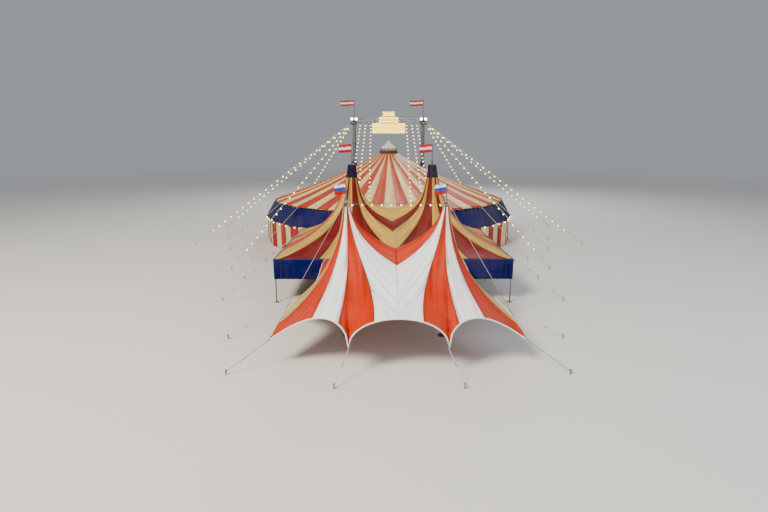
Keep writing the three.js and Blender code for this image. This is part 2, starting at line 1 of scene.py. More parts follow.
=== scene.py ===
"""Looks of a circus tent at half size: a round big top, the two-peaked foyer tent before it and
the two-peaked entrance canopy in front.

Shapes are worked out in metres of the real tent, measured from the middle of the big top, and
to_model() brings them to the half-size frame. x runs right, y away from the entrance, z up."""

import math
from functools import partial

import bpy
import numpy as np
from mathutils import Euler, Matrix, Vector


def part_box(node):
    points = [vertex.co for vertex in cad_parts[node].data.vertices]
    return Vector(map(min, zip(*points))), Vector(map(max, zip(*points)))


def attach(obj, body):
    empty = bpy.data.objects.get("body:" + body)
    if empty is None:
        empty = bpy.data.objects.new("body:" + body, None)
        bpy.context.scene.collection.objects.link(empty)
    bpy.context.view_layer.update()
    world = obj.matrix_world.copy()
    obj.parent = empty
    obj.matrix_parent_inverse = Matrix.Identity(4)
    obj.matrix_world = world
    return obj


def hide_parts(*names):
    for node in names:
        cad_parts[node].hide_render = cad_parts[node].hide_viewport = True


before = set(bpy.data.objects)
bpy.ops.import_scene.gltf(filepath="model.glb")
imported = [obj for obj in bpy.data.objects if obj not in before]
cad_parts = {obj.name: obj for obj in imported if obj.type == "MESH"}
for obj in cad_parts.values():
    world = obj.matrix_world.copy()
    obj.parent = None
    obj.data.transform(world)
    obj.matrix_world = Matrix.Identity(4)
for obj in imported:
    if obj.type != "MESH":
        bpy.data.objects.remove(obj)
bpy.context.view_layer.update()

# Scale and the big top's middle, read from the frame.
HALF = 0.5
mast_low, mast_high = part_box("main_mast_left")
MIDDLE_Y = (mast_low.y + mast_high.y) / 2

# Driving sizes, in metres of the real tent.
BAY = math.radians(18)
GORE = BAY / 3
FIRST_POLE = math.radians(-99)
SECTORS = {"front": -135, "right": -45, "back": 45, "left": 135}
SIDES = (("left", -1), ("right", 1))
CORNERS = ((-1, -1), (-1, 1), (1, -1), (1, 1))
CLOTH = 0.012
POLE, RAIL, ROPE, TIE_HEIGHT = 0.04, 0.03, 0.014, 0.14
EAVE_RADIUS, EAVE_HEIGHT = 10.8, 3.8
RING_RADIUS, RING_HEIGHT, RING_TOP, ROOF_SAG = 0.8, 7.97, 8.2, 0.3
RAIL_RADIUS, RAIL_HEIGHT = 10.776, 3.727
SKIRT_TOP, SKIRT_BOTTOM, SKIRT_NECK, SKIRT_RADIUS = 3.62, 2.2, 10.857, 11.7
WALL_TOP, WALL_RADIUS = 2.28, 11.6
GUY_RADIUS = 15.3
CAP_RADIUS, CAP_BOTTOM, CAP_TOP = 0.73, 8.41, 9.16
MAST_X, MAST_TUBE, HEAD, HEAD_LOW, HEAD_HIGH, POLE_TOP = 3.25, 0.16, 0.25, 10.65, 11.25, 12.85
STAY_RADIUS, STAY_ANGLES, STAY_HEIGHT, STAY_DROP = 18.0, (-50, -15, 15, 50), 10.76, 10.6
TRUSS_LOW, TRUSS_HIGH, TRUSS_DEPTH = 10.75, 11.15, 0.4
# The light board's steps: half width, foot and top of each.
BOARD = ((1.55, 9.8, 10.7), (0.9, 10.7, 11.28), (0.55, 11.28, 11.76))
BOARD_BACK, BOARD_FRONT, BOARD_RIM, BULB_PITCH = -0.2, -0.38, 0.05, 0.17


# Gores are given by bearing round the mast at the hem, in degrees: 0 looks at the other mast, and
# 90 to the front. A weld turns by its curl on the way up to the crown, and dyes numbers the gores'
# colours: most are the cloth's own, and a few are painted shade and painted light. Between two
# welds the cloth sinks by puff times the gore's width.


class Foyer:
    label = "foyer"
    mast, crown, tube, peak, top = (2.55, -17.0), 0.26, 0.1, 7.6, 8.9
    # sleeve is the depth of the navy band at the horn's top: partly a real navy sleeve, and partly
    # painted shade.
    joints, sleeve = (2.6, 5.2), 0.8
    half, front, rear, passage = 6.7, -21.8, -11.435, 3.95
    eave, rail, saddle, valance = 2.55, 2.479, 4.87, 1.4
    tips = ((half, front), (half, rear))
    feet = ((9.9, -21.5), (9.9, -16.6175), (9.6, -11.535))
    gores = (0, 29.5, 43, 60, 84, 100, 109, 129, 148, 176, 194, 212, 231, 251, 260, 276, 300, 317,
             330.5, 360)
    curls = (0, -16, -16, -11, 4, 3, 0, -8, 0, 0, 0, 0, 8, 0, -3, -4, 11, 16, 16, 0)
    # Dye 0, dark maroon, is the red cloth drawn darker, as in shade, and dye 3, orange, on the
    # gores that start at 148 and 194 degrees, is painted light: the same red lit from below.
    dyes = (1, 0, 1, 0, 1, 1, 0, 1, 3, 1, 3, 1, 0, 1, 1, 0, 1, 0, 1)
    puff, flat = 0.05, (11.5, 13.5)


class Entrance:
    label = "entrance"
    mast, crown, tube, peak, top = (2.25, -27.0), 0.15, 0.08, 6.16, 7.2
    joints = (2.4,)
    saddle, arch = 4.25, 2.4
    inner, corner, side = (1.95, -31.4, 1.2), (5.2, -30.5, 1.2), (5.0, -26.0, 1.3)
    # The height that the cloth heads for inside each tip, which is pulled down at the hem alone.
    inner_body, corner_body, side_body = 2.2, 1.4, 1.4
    rear = (3.9, -21.827, 2.498)
    tips = (inner[:2], corner[:2], side[:2])
    inner_stake, corner_stake, side_stake = (2.45, -32.4), (6.83, -31.2), (7.85, -27.4)
    gores = (0, 28.7, 73.5, 91.5, 106.5, 135, 165, 195, 225, 253.5, 268.5, 286.5, 331.3, 360)
    curls = (0, 0, -16, -8, 4, -7, 0, 0, 7, -4, 8, 16, 0, 0)
    # Dye 2, tan, on the three gores from 135 to 225 degrees is painted shade: white cloth on the
    # outer side as it looks in shade.
    dyes = (0, 1, 0, 1, 0, 2, 2, 2, 0, 1, 0, 1, 0)
    puff, flat = 0.03, (10.5, 9.5)


def to_model(points):
    """Half size, with the big top's middle at the place that the frame gives it."""
    return np.asarray(points, float) * HALF + (0.0, MIDDLE_Y, 0.0)


def mirror(points, side):
    """Places on the right side as they are, or on the left side for side -1."""
    return np.asarray(points, float) * (side, 1, 1)


# Building meshes

# The distance to a seam on a piece that has none.
NO_SEAM = 9.0


class Shape:
    """Points and faces collected for one piece. Each face has corner pairs (UV) and a dye number,
    and each point its distance from the nearest seam."""

    def __init__(self):
        self.points, self.faces, self.uv, self.dye, self.edge = [], [], [], [], []
        self.count = 0

    def add(self, points, faces, uv=None, dye=0.0, edge=NO_SEAM):
        """faces is an array of corner numbers, or a list of such arrays."""
        points = np.asarray(points, float).reshape(-1, 3)
        groups = faces if isinstance(faces, list) else [faces]
        pairs = np.zeros((sum(group.size for group in groups), 2))
        if uv is not None:
            given = np.asarray(uv, float).reshape(-1, 2)
            pairs[:len(given)] = given
        total = sum(len(group) for group in groups)
        self.points.append(points)
        self.faces += [group + self.count for group in groups]
        self.uv.append(pairs)
        self.dye.append(np.broadcast_to(np.asarray(dye, float), (total,)))
        self.edge.append(np.broadcast_to(np.ravel(edge), (len(points),)))
        self.count += len(points)
        return self

    def make(self, name, look, slot, replaces=None, smooth=True, thick=0.0, bevel=0.0):
        """The Blender object. It sits at the origin and rides with the tent."""
        mesh = bpy.data.meshes.new(name)
        corners = [face for group in self.faces for face in group.tolist()]
        mesh.from_pydata(to_model(np.concatenate(self.points)).tolist(), [], corners)
        layer = mesh.uv_layers.new(name="cloth")
        layer.data.foreach_set("uv", np.concatenate(self.uv).astype(np.float32).ravel())
        for key, domain, values in (("dye", "FACE", self.dye), ("edge", "POINT", self.edge)):
            layer = mesh.attributes.new(key, "FLOAT", domain)
            layer.data.foreach_set("value", np.concatenate(values).astype(np.float32))
        mesh.polygons.foreach_set("use_smooth", np.full(len(mesh.polygons), smooth))
        mesh.materials.append(look)
        mesh.update()
        thing = bpy.data.objects.new(name, mesh)
        bpy.context.scene.collection.objects.link(thing)
        if thick:
            solid = thing.modifiers.new("thickness", "SOLIDIFY")
            solid.thickness, solid.offset = thick * HALF, -1.0
        if bevel:
            rounding = thing.modifiers.new("edges", "BEVEL")
            rounding.width, rounding.segments = bevel * HALF, 2
            rounding.limit_method = "ANGLE"
        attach(thing, "root")
        if replaces:
            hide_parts(replaces)
        return thing


def grid_faces(rows, columns, wrap=False):
    """Quads of a grid whose points are numbered along each row."""
    across = columns if wrap else columns - 1
    i, j = np.meshgrid(np.arange(rows - 1), np.arange(across), indexing="ij")
    after = (j + 1) % columns
    quads = [i * columns + j, i * columns + after, (i + 1) * columns + after, (i + 1) * columns + j]
    return np.stack(quads, -1).reshape(-1, 4)


def corner_values(values):
    """The value of each quad's four corners, from values at the grid's points."""
    return np.stack([values[:-1, :-1], values[:-1, 1:], values[1:, 1:], values[1:, :-1]], -1)


def spokes(count):
    """Steps of length 1 to even places round a circle, as cosine and sine of their bearing."""
    turn = np.arange(count) * 2 * math.pi / count
    return np.stack([np.cos(turn), np.sin(turn)], -1)


def lengths_along(path):
    """How far each place of a path lies from its start."""
    steps = np.linalg.norm(np.diff(path, axis=0), axis=1)
    return np.concatenate([[0], np.cumsum(steps)])


def sweep(shape, path, radius, sides=10):
    """A closed tube: a circle carried along the path, at right angles to the way there. UV runs
    once round and in metres along."""
    path = np.asarray(path, float)
    way = np.gradient(path, axis=0)
    way /= np.linalg.norm(way, axis=1, keepdims=True)
    side = np.cross(way, np.eye(3)[int(np.argmin(np.abs(way.mean(0))))])
    side /= np.linalg.norm(side, axis=1, keepdims=True)
    other = np.cross(way, side)
    around = spokes(sides)
    ring = side[:, None] * around[None, :, :1] + other[:, None] * around[None, :, 1:]
    points = path[:, None] + ring * radius
    u, v = np.meshgrid(np.arange(sides + 1) / sides, lengths_along(path))
    quads = grid_faces(len(path), sides, wrap=True)
    uv = np.stack([corner_values(u), corner_values(v)], -1)
    first = np.arange(sides)[::-1][None]
    last = (np.arange(sides) + (len(path) - 1) * sides)[None]
    return shape.add(points, [quads, first, last], uv)


def rod(shape, start, end, radius, sides=10):
    """A straight closed tube between two places."""
    return sweep(shape, [start, end], radius, sides)


def turned(shape, outline, x, y, sides=32):
    """A closed turned piece round an upright axis. outline holds radius and height from the foot
    up, and its first and last points lie on the axis."""
    outline = np.asarray(outline, float)
    body = outline[1:-1]
    flat = body[:, :1, None] * spokes(sides) + (x, y)
    high = np.broadcast_to(body[:, 1:, None], (len(body), sides, 1))
    wall = np.concatenate([flat, high], -1).reshape(-1, 3)
    points = np.concatenate([wall, [(x, y, outline[0, 1]), (x, y, outline[-1, 1])]])
    number = np.arange(sides)
    after = (number + 1) % sides
    foot, top_row = len(body) * sides, (len(body) - 1) * sides
    low = np.stack([after, number, np.full(sides, foot)], -1)
    cap = np.stack([number + top_row, after + top_row, np.full(sides, foot + 1)], -1)
    return shape.add(points, [grid_faces(len(body), sides, wrap=True), low, cap])


def drum(shape, x, y, radius, low, high, sides=6):
    """A closed upright cylinder, or with six sides a bolt."""
    return turned(shape, [(0, low), (radius, low), (radius, high), (0, high)], x, y, sides)


def bolt_circle(shape, x, y, reach, count, radius, low, high):
    """Bolts at even places round an upright axis."""
    for out_x, out_y in spokes(count) * reach:
        drum(shape, x + out_x, y + out_y, radius, low, high)


def block(shape, one, other):
    """A box between any two opposite corners."""
    (x0, x1), (y0, y1), (z0, z1) = (sorted(pair) for pair in zip(one, other))
    points = [(x, y, z) for z in (z0, z1) for y in (y0, y1) for x in (x0, x1)]
    faces = [(0, 2, 3, 1), (4, 5, 7, 6), (0, 1, 5, 4), (2, 6, 7, 3), (0, 4, 6, 2), (1, 3, 7, 5)]
    return shape.add(points, np.array(faces))


def copies(shape, pattern, places):
    """The same small shape, given as pattern, at many places."""
    points, places = pattern.points[0], np.reshape(places, (-1, 1, 3))
    first = (np.arange(len(places)) * len(points))[:, None, None]
    groups = [(group + first).reshape(-1, group.shape[1]) for group in pattern.faces]
    return shape.add(points + places, groups)


def turn_over(shape):
    """The last faces added look the other way."""
    shape.faces[-1] = shape.faces[-1][:, ::-1]
    shape.uv[-1] = shape.uv[-1].reshape(-1, 4, 2)[:, ::-1].reshape(-1, 2)


def cut_hole(shape, x, y, radius):
    """Takes out the faces of a lone grid whose middle lies near an upright axis."""
    middle = shape.points[0][shape.faces[0]].mean(1)
    keep = np.hypot(middle[:, 0] - x, middle[:, 1] - y) > radius
    shape.uv[0] = shape.uv[0].reshape(-1, 4, 2)[keep].reshape(-1, 2)
    shape.faces[0], shape.dye[0] = shape.faces[0][keep], shape.dye[0][keep]


# Materials

# Settings of a Mix node that mixes colours, and which of its outputs holds the colour.
COLOUR = {"data_type": "RGBA", "out": 2}


def linear(code):
    """An sRGB hex value as linear colour."""
    parts = [int(code[k:k + 2], 16) / 255 for k in (0, 2, 4)]
    return [p / 12.92 if p <= 0.04045 else ((p + 0.055) / 1.055) ** 2.4 for p in parts] + [1.0]


def node(tree, kind, inputs=None, out=0, **settings):
    """Adds a node. Its settings are set first, then each input gets a value or a link. Gives the
    output that is asked for."""
    made = tree.nodes.new("ShaderNode" + kind)
    for key, value in settings.items():
        setattr(made, key, value)
    for key, value in (inputs or {}).items():
        if isinstance(value, bpy.types.NodeSocket):
            tree.links.new(value, made.inputs[key])
        else:
            made.inputs[key].default_value = value
    return made.outputs[out] if len(made.outputs) else None


def material(name, build):
    """A material whose shader inputs come from build(add), where add puts a node into its tree."""
    made = bpy.data.materials.new(name)
    made.use_nodes = True
    made.node_tree.nodes.clear()
    add = partial(node, made.node_tree)
    add("OutputMaterial", {"Surface": add("BsdfPrincipled", build(add))})
    return made


def laid_over(add, colour, other, value, span, amount, blend="MIX"):
    """A colour with another one over it. The amount goes from its first number to its second while
    the value crosses its span."""
    share = add("MapRange", {0: value, 1: span[0], 2: span[1], 3: amount[0], 4: amount[1]})
    return add("Mix", {0: share, 6: colour, 7: other}, blend_type=blend, **COLOUR)


def coated_cloth(name, dyes, roughness=0.45, crease=1.0, sleeve=None):
    """Tent cloth: woven polyester under a coat of vinyl, which gives a soft broad shine. The face's
    dye number picks the colour, edge is the distance to the nearest weld, and the UV runs across
    and down the gore, all in metres of the real tent. A weld is a dark raised band, drawn about 90
    mm wide where real ones are 40, so that it shows. The weave of about 1 mm is drawn at 6 mm to
    show. Above the height sleeve, in metres of the model, the third dye, navy, closes the horn:
    partly a real doubled sleeve, and partly painted shade of the horn's top."""

    def build(add):
        uv, place = add("UVMap", uv_map="cloth"), add("TexCoord", out="Object")
        dye, edge = (add("Attribute", out="Fac", attribute_name=key) for key in ("dye", "edge"))
        picks = [(dye, k + 0.5, code) for k, code in enumerate(dyes[1:])]
        # The navy over the horn's top is partly a real sleeve and partly painted shade.
        if sleeve:
            picks.append((add("SeparateXYZ", {0: place}, out=2), sleeve, dyes[2]))
        colour = linear(dyes[0])
        for value, limit, code in picks:
            beyond = add("Math", {0: value, 1: limit}, operation="GREATER_THAN")
            colour = add("Mix", {0: beyond, 6: colour, 7: linear(code)}, **COLOUR)
        # Sun fade in broad soft patches, then streaks of rain down the gore.
        patches = add("TexNoise", {"Vector": place, "Scale": 0.5, "Detail": 5.0, "Roughness": 0.6})
        faded = add("Mix", {0: 0.5, 6: colour, 7: linear("D9CCB4")}, **COLOUR)
        colour = laid_over(add, colour, faded, patches, (0.4, 0.75), (0.0, 0.16))
        rain = add("Mapping", {"Vector": uv, "Scale": (5.0, 0.35, 1.0)})
        streaks = add("TexNoise", {"Vector": rain, "Scale": 1.0, "Detail": 5.0, "Roughness": 0.62})
        colour = laid_over(add, colour, linear("8C8074"), streaks, (0.45, 0.75), (0.0, 0.45),
                           "MULTIPLY")
        # Welds between gores, and cross seams every 2.4 m down them.
        weld = add("MapRange", {0: edge, 1: 0.03, 2: 0.06, 3: 1.0, 4: 0.0})
        down = add("SeparateXYZ", {0: uv}, out=1)
        from_cross = add("Math", {0: down, 1: 1.2}, operation="PINGPONG")
        cross = add("MapRange", {0: from_cross, 1: 0.012, 2: 0.03, 3: 0.55, 4: 0.0})
        seams = add("Math", {0: weld, 1: cross}, operation="MAXIMUM")
        colour = laid_over(add, colour, linear("3A2C26"), seams, (0.0, 1.0), (0.0, 0.28))
        # Grime that the rain leaves beside the welds.
        beside = add("MapRange", {0: edge, 1: 0.05, 2: 0.3, 3: 0.35, 4: 0.0})
        wet = add("MapRange", {0: streaks, 1: 0.4, 2: 0.62, 3: 0.0, 4: 1.0})
        grime = add("Math", {0: beside, 1: wet}, operation="MULTIPLY")
        colour = add("Mix", {0: grime, 6: colour, 7: linear("8A7A68")}, blend_type="MULTIPLY",
                     **COLOUR)
        # Relief: raised seams, wrinkles that run down the gore, and the weave.
        run_down = add("Mapping", {"Vector": uv, "Scale": (2.6, 0.3, 1.0)})
        wrinkles = add("TexNoise", {"Vector": run_down, "Scale": 1.0, "Detail": 3.0,
                                    "Roughness": 0.5})
        weave = add("TexNoise", {"Vector": uv, "Scale": 160.0, "Detail": 1.0, "Roughness": 0.6})
        high = 0.0
        for relief, depth in ((seams, 0.14), (wrinkles, 1.1 * crease), (weave, 0.02)):
            high = add("Math", {0: relief, 1: depth, 2: high}, operation="MULTIPLY_ADD")
        bump = add("Bump", {"Height": high, "Strength": 0.6, "Distance": 0.03})
        rough = add("MapRange", {0: patches, 1: 0.3, 2: 0.7, 3: roughness - 0.06,
                                 4: roughness + 0.12})
        return {"Base Color": colour, "Normal": bump, "Roughness": rough,
                "Specular IOR Level": 0.35, "Specular Tint": colour, "Coat Weight": 0.03,
                "Coat Roughness": 0.35}

    return material(name, build)


def metal(name, code, metallic, roughness, worn="6B5A4A", wear=0.25):
    """Steel, alloy or a cable's dark rubber: a mottled skin from galvanising or paint, with rubbed
    and rusty patches. The spangle of about 5 mm is drawn at 25 mm to show."""

    def build(add):
        place = add("TexCoord", out="Object")
        mottle = add("TexVoronoi", {"Vector": place, "Scale": 40.0})
        patches = add("TexNoise", {"Vector": place, "Scale": 3.0, "Detail": 6.0, "Roughness": 0.65})
        light = add("Mix", {0: 0.4, 6: linear(code), 7: linear("FFFFFF")}, **COLOUR)
        colour = laid_over(add, linear(code), light, mottle, (0.0, 0.9), (0.0, 0.35))
        colour = laid_over(add, colour, linear(worn), patches, (0.58, 0.75), (0.0, wear))
        bump = add("Bump", {"Height": mottle, "Strength": 0.12, "Distance": 0.004})
        rough = add("MapRange", {0: patches, 1: 0.35, 2: 0.75, 3: roughness - 0.08,
                                 4: roughness + 0.2})
        return {"Base Color": colour, "Metallic": metallic, "Normal": bump, "Roughness": rough}

    return material(name, build)


def laid_rope(name, code):
    """Synthetic rope of three laid strands: slanting ridges every 45 mm follow the strands, drawn
    coarser than real ones so that they show. It is matt, and darker in the grooves between the
    strands."""

    def build(add):
        uv = add("UVMap", uv_map="cloth")
        once_round, along = (add("SeparateXYZ", {0: uv}, out=part) for part in (0, 1))
        slant = add("Math", {0: along, 1: 7.4, 2: once_round}, operation="MULTIPLY_ADD")
        strands = add("Math", {0: slant, 1: 3.0}, operation="MULTIPLY")
        ridge = add("Math", {0: strands, 1: 0.5}, operation="PINGPONG")
        # Darker towards the grooves between the strands.
        colour = laid_over(add, linear(code), linear("6F6555"), ridge, (0.0, 0.3), (0.55, 0.0))
        bump = add("Bump", {"Height": ridge, "Strength": 0.8, "Distance": 0.004})
        return {"Base Color": colour, "Roughness": 0.85, "Normal": bump, "Sheen Weight": 0.2}

    return material(name, build)


def glowing(name, code, strength):
    """Lit glass, a little uneven over its face."""

    def build(add):
        place = add("TexCoord", out="Object")
        uneven = add("TexNoise", {"Vector": place, "Scale": 6.0, "Detail": 4.0, "Roughness": 0.6})
        colour = laid_over(add, linear(code), linear("FFF6DE"), uneven, (0.35, 0.65), (0.0, 0.35))
        return {"Base Color": colour, "Emission Color": colour, "Emission Strength": strength,
                "Roughness": 0.25}

    return material(name, build)


# The entrance's third dye, tan C8A866, is painted shade that stands for white cloth in shade on the
# canopy's outer side.
entrance_cloth = coated_cloth("entrance_vinyl_cloth", ["C02C04", "FCFDFC", "C8A866"])
# The foyer's first dye, dark maroon, is its red cloth drawn darker, as in shade; its fourth,
# orange, is painted light, the same red as it looks lit from below.
foyer_cloth = coated_cloth("foyer_vinyl_cloth", ["6C0C0E", "C8A048", "080E34", "C44006"],
                           sleeve=(Foyer.peak - Foyer.sleeve) * HALF)
roof_cloth = coated_cloth("big_top_vinyl_cloth", ["B82E0A", "EBCB8A"])
wall_cloth = coated_cloth("lower_wall_vinyl_cloth", ["A01E0A", "E4CFA0"])
navy_cloth = coated_cloth("navy_vinyl_cloth", ["050C50"], roughness=0.5)
band_cloth = coated_cloth("cupola_vinyl_cloth", ["6E2C2E", "F2EBDC"], crease=0.3)
flag_cloth = coated_cloth("woven_flag_cloth", ["C4141E", "F6F5F4", "1A44B4"], 0.7, crease=0.6)
steel = metal("galvanised_steel_tube", "8E9193", 0.85, 0.45)
painted = metal("painted_mast_steel", "2E3442", 0.25, 0.5, worn="7A6E62", wear=0.35)
alloy = metal("aluminium_truss_tube", "C2C5C8", 1.0, 0.35, worn="8A8C8E", wear=0.2)
rope = laid_rope("laid_polyester_rope", "D9D2BF")
grey_rope = laid_rope("weathered_stay_rope", "8E897C")
white_rope = laid_rope("white_hem_rope", "F6F5F0")
navy_rope = laid_rope("navy_hem_rope", "10164A")
cable = metal("rubber_light_cable", "26231F", 0.0, 0.6, worn="3A352F", wear=0.2)
bulb_glass = glowing("lit_bulb_glass", "FFE06A", 5.0)
flood_glass = glowing("floodlamp_glass", "DFF2FF", 14.0)
gold_glass = glowing("gold_bulb_glass", "FFE048", 5.0)
panel_light = glowing("lit_board_panel", "FFD60A", 0.9)


# Cloth


def cloth_grid(points, across, scale, down, seams, dyes):
    """A grid of cloth. across gives each column's place over the gores, scale is metres for one
    unit of across at each point, and down is metres along the gore. seams are the places over the
    gores where one ends, and dyes gives a number to each gore between them."""
    rows, columns = points.shape[:2]
    scale, down = (np.broadcast_to(values, (rows, columns)) for values in (scale, down))
    middle = (across[1:] + across[:-1]) / 2
    panel = np.searchsorted(seams, middle) - 1
    centre = (seams[panel] + seams[panel + 1]) / 2
    nearest = np.abs(across[:, None] - seams[None]).min(1)
    left, right = (across[:-1] - centre) * scale[:, :-1], (across[1:] - centre) * scale[:, 1:]
    u = np.stack([left[:-1], right[:-1], right[1:], left[1:]], -1)
    # Each gore is cut from another part of the cloth, so that their marks differ.
    v = corner_values(down) + panel[None, :, None] * 37.7
    dye = np.broadcast_to(np.asarray(dyes, float)[panel], (rows - 1, columns - 1))
    return Shape().add(points, grid_faces(rows, columns), np.stack([u, v], -1), dye.ravel(),
                       scale * nearest)


def declare(flat):
    """Scales a sheet's cut size to the model and keeps it nowhere. flat is its cut size in metres
    of the real tent.
    """
    width, length = (size * HALF for size in flat)


def edge_run(start, end, mast, bend, rise=0.0, bow=0.0, wave=None, body=None, part=0.35):
    """Places from start to end, without the end, where s runs from 0 to 1. The line bows in to the
    mast by bow as half a sine, and rises by rise times wave(s). Two more columns say how the cloth
    bends there, and the height that it heads for inside the edge: body from end to end, and part
    of the rise."""
    count = 240
    s = np.arange(count) / count
    points = np.outer(1 - s, start) + np.outer(s, end)
    inward = (*mast, 0.0) - points * (1, 1, 0)
    inward /= np.linalg.norm(inward, axis=1, keepdims=True)
    points += inward * (bow * np.sin(math.pi * s))[:, None]
    inside = points[:, 2].copy() if body is None else body[0] + (body[1] - body[0]) * s
    if wave:
        points[:, 2] += rise * wave(s)
        inside += part * rise * wave(s)
    return np.column_stack([points, bend[0] + (bend[1] - bend[0]) * s, inside])


def entrance_edge():
    """The entrance canopy's edge on the right side: from the valley between the masts to the
    front arch, round three pulled-down tips and back."""
    tent, inner, corner, side = Entrance, Entrance.inner, Entrance.corner, Entrance.side
    rear = tent.rear
    top, front, back = (0, tent.mast[1], tent.saddle), (0, inner[1], tent.arch), (0, *rear[1:])

    def run(start, end, *form):
        return edge_run(start, end, tent.mast, (-0.2, -0.2), *form)

    def leaning(s):
        """An arch that is highest, at 1, three tenths of the way: 1 - s times s to the 0.45, over
        that product's top of 0.407."""
        return (1 - s) * s ** 0.45 / 0.407

    def even(s):
        """Half a sine to the 0.8, which is a little fuller."""
        return np.sin(math.pi * s) ** 0.8

    def from_seam(s):
        """How far a rounded quarter arch, 1 less s squared and all that to the 0.45, stands over
        a straight line down to the tip."""
        return (1 - s ** 2) ** 0.45 - (1 - s)

    return [
        run(top, front),
        run(front, inner, tent.arch - inner[2], 0.0, from_seam, (tent.arch, tent.inner_body), 0.0),
        run(inner, corner, 1.1, 0.1, leaning, (tent.inner_body, tent.corner_body)),
        run(corner, side, 0.8, 0.6, even, (tent.corner_body, tent.side_body)),
        run(side, rear, 0.2, 0.8, even, (tent.side_body, rear[2])),
        run(rear, back),
        run(back, top),
    ]


def foyer_edge():
    """The foyer tent's edge in the same order: a straight eave, and a deep valley."""
    top = (0, Foyer.mast[1], Foyer.saddle)
    corners = ((0, Foyer.front), *Foyer.tips, (0, Foyer.rear))
    places = [top, *((*corner, Foyer.eave) for corner in corners), top]
    bends = [(1, 0.4), (0.4, 0.05), (0.05, 0.05), (0.05, 0.4), (0.4, 1)]
    return [edge_run(a, b, Foyer.mast, bend) for a, b, bend in zip(places, places[1:], bends)]


def canopy_columns(runs, length, bearing, seams, step=0.12):
    """Bearings of a canopy's columns: even steps along the edge between its corners and seams."""
    corners = length[np.cumsum([0] + [len(run) for run in runs])]
    stops = np.unique(np.round([*corners, *np.interp(seams, bearing, length)], 6))
    cuts = [np.linspace(a, b, max(2, math.ceil((b - a) / step) + 1))[:-1]
            for a, b in zip(stops, stops[1:]) if b - a > 1e-4]
    return np.interp(np.concatenate([*cuts, length[-1:]]), length, bearing)


def half_canopy(tent, side, runs):
    """Half of a canopy with two peaks, as a polar grid round its mast. Each column starts at a
    place on the edge and runs up to the crown, turning by its curl on the way. Its height falls as
    the radius to the power -fall, which makes a horn, and heads for the edge's body height. The
    pull of a tip fades in from the edge as the fourth power of the radius. Between two welds the
    cloth sinks by puff times the gore's width. Creases run out from the crown and from each tip,
    as a cosine of the bearing that dies away with distance."""
    edge = np.concatenate([*runs, runs[0][:1]])
    angle = np.unwrap(np.arctan2(edge[:, 1] - tent.mast[1], edge[:, 0] - tent.mast[0]))
    bearing = np.abs(angle - angle[0])
    length = lengths_along(edge[:, :3])
    seams = np.radians(tent.gores)
    across = canopy_columns(runs, length, bearing, seams)
    # Rows lie closer together toward the crown.
    share = np.linspace(0, 1, 60)[:, None] ** 1.8
    curled = across + np.radians(np.interp(across, seams, tent.curls)) * (1 - share)
    x, y, hem, fall, body = (np.interp(curled, bearing, edge[:, k]) for k in range(5))
    reach = np.stack([x, y], -1) - tent.mast
    radius = np.linalg.norm(reach, axis=-1)
    here = tent.crown + (radius - tent.crown) * share
    rise = (here ** -fall - radius ** -fall) / (tent.crown ** -fall - radius ** -fall)
    foot = body + (hem - body) * (here / radius) ** 4
    high = foot + (tent.peak - foot) * rise
    gore = np.clip(np.searchsorted(seams, across, side="right") - 1, 0, len(seams) - 2)
    width = seams[gore + 1] - seams[gore]
    between = np.sin(math.pi * (across - seams[gore]) / width) ** 2
    ends = np.sin(math.pi * np.clip(share ** 0.5, 0.02, 0.98))
    high -= tent.puff * between * width * here * ends
    flat = tent.mast + here[..., None] * (reach / radius[..., None])
    high += 0.012 * np.cos(across * 48) * np.exp(-((here - tent.crown) / 0.5) ** 2) * share ** 0.3
    for tip in tent.tips:
        away = flat - tip
        far = np.linalg.norm(away, axis=-1)
        ridges = np.cos(16 * np.arctan2(away[..., 1], away[..., 0]))
        high += 0.1 * ridges * far * np.exp(-(far / 0.6) ** 2)
    points = mirror(np.concatenate([flat, high[..., None]], -1), side)
    shape = cloth_grid(points, across, here, here, seams, tent.dyes)
    if side > 0:
        turn_over(shape)
    return shape, points


canopies = {}
for word, side in SIDES:
    for tent, runs, look in ((Entrance, entrance_edge(), entrance_cloth),
                             (Foyer, foyer_edge(), foyer_cloth)):
        shape, points = half_canopy(tent, side, runs)
        cloth = shape.make(f"{tent.label}_cloth_{word}", look, "striped_cloth",
                           f"{tent.label}_canopy_{word}", thick=CLOTH)
        canopies[tent.label, word] = (cloth, points, runs)


# The big top


def plan(angle):
    """How far the plan's straight sides lie from the middle, as a share of its corners: the
    cosine of half a bay over the cosine of the bearing from a side's own middle."""
    return math.cos(BAY / 2) / np.cos((angle - FIRST_POLE) % BAY - BAY / 2)


def round_middle(radius, angle, high):
    """Places on the plan's polygon at a radius, bearing and height."""
    far = radius * plan(angle)
    return np.stack(np.broadcast_arrays(far * np.cos(angle), far * np.sin(angle), high), -1)


def roof_height(radius):
    """A straight slope from the ring to the eave, less the sag of a parabola."""
    share = (radius - RING_RADIUS) / (EAVE_RADIUS - RING_RADIUS)
    straight = RING_HEIGHT + (EAVE_HEIGHT - RING_HEIGHT) * share
    return straight - ROOF_SAG * 4 * share * (1 - share)


def skirt_radius(high):
    """A straight flare from the skirt's neck to its hem."""
    share = (SKIRT_TOP - high) / (SKIRT_TOP - SKIRT_BOTTOM)
    return SKIRT_NECK + (SKIRT_RADIUS - SKIRT_NECK) * share


def folds(along, seed):
    """Uneven soft folds from -1 to 1, three waves of about 0.35, 0.6 and 1.3 m."""
    return (0.5 * np.sin(along * 17.9 + seed) + 0.3 * np.sin(along * 10.3 + 2.1 * seed)
            + 0.2 * np.sin(along * 4.9 + 0.7 * seed))


def quarter_turn(start, parts):
    """Bearings from start, in degrees, over a quarter of the round in even parts."""
    return math.radians(start) + np.linspace(0, math.pi / 2, parts + 1)


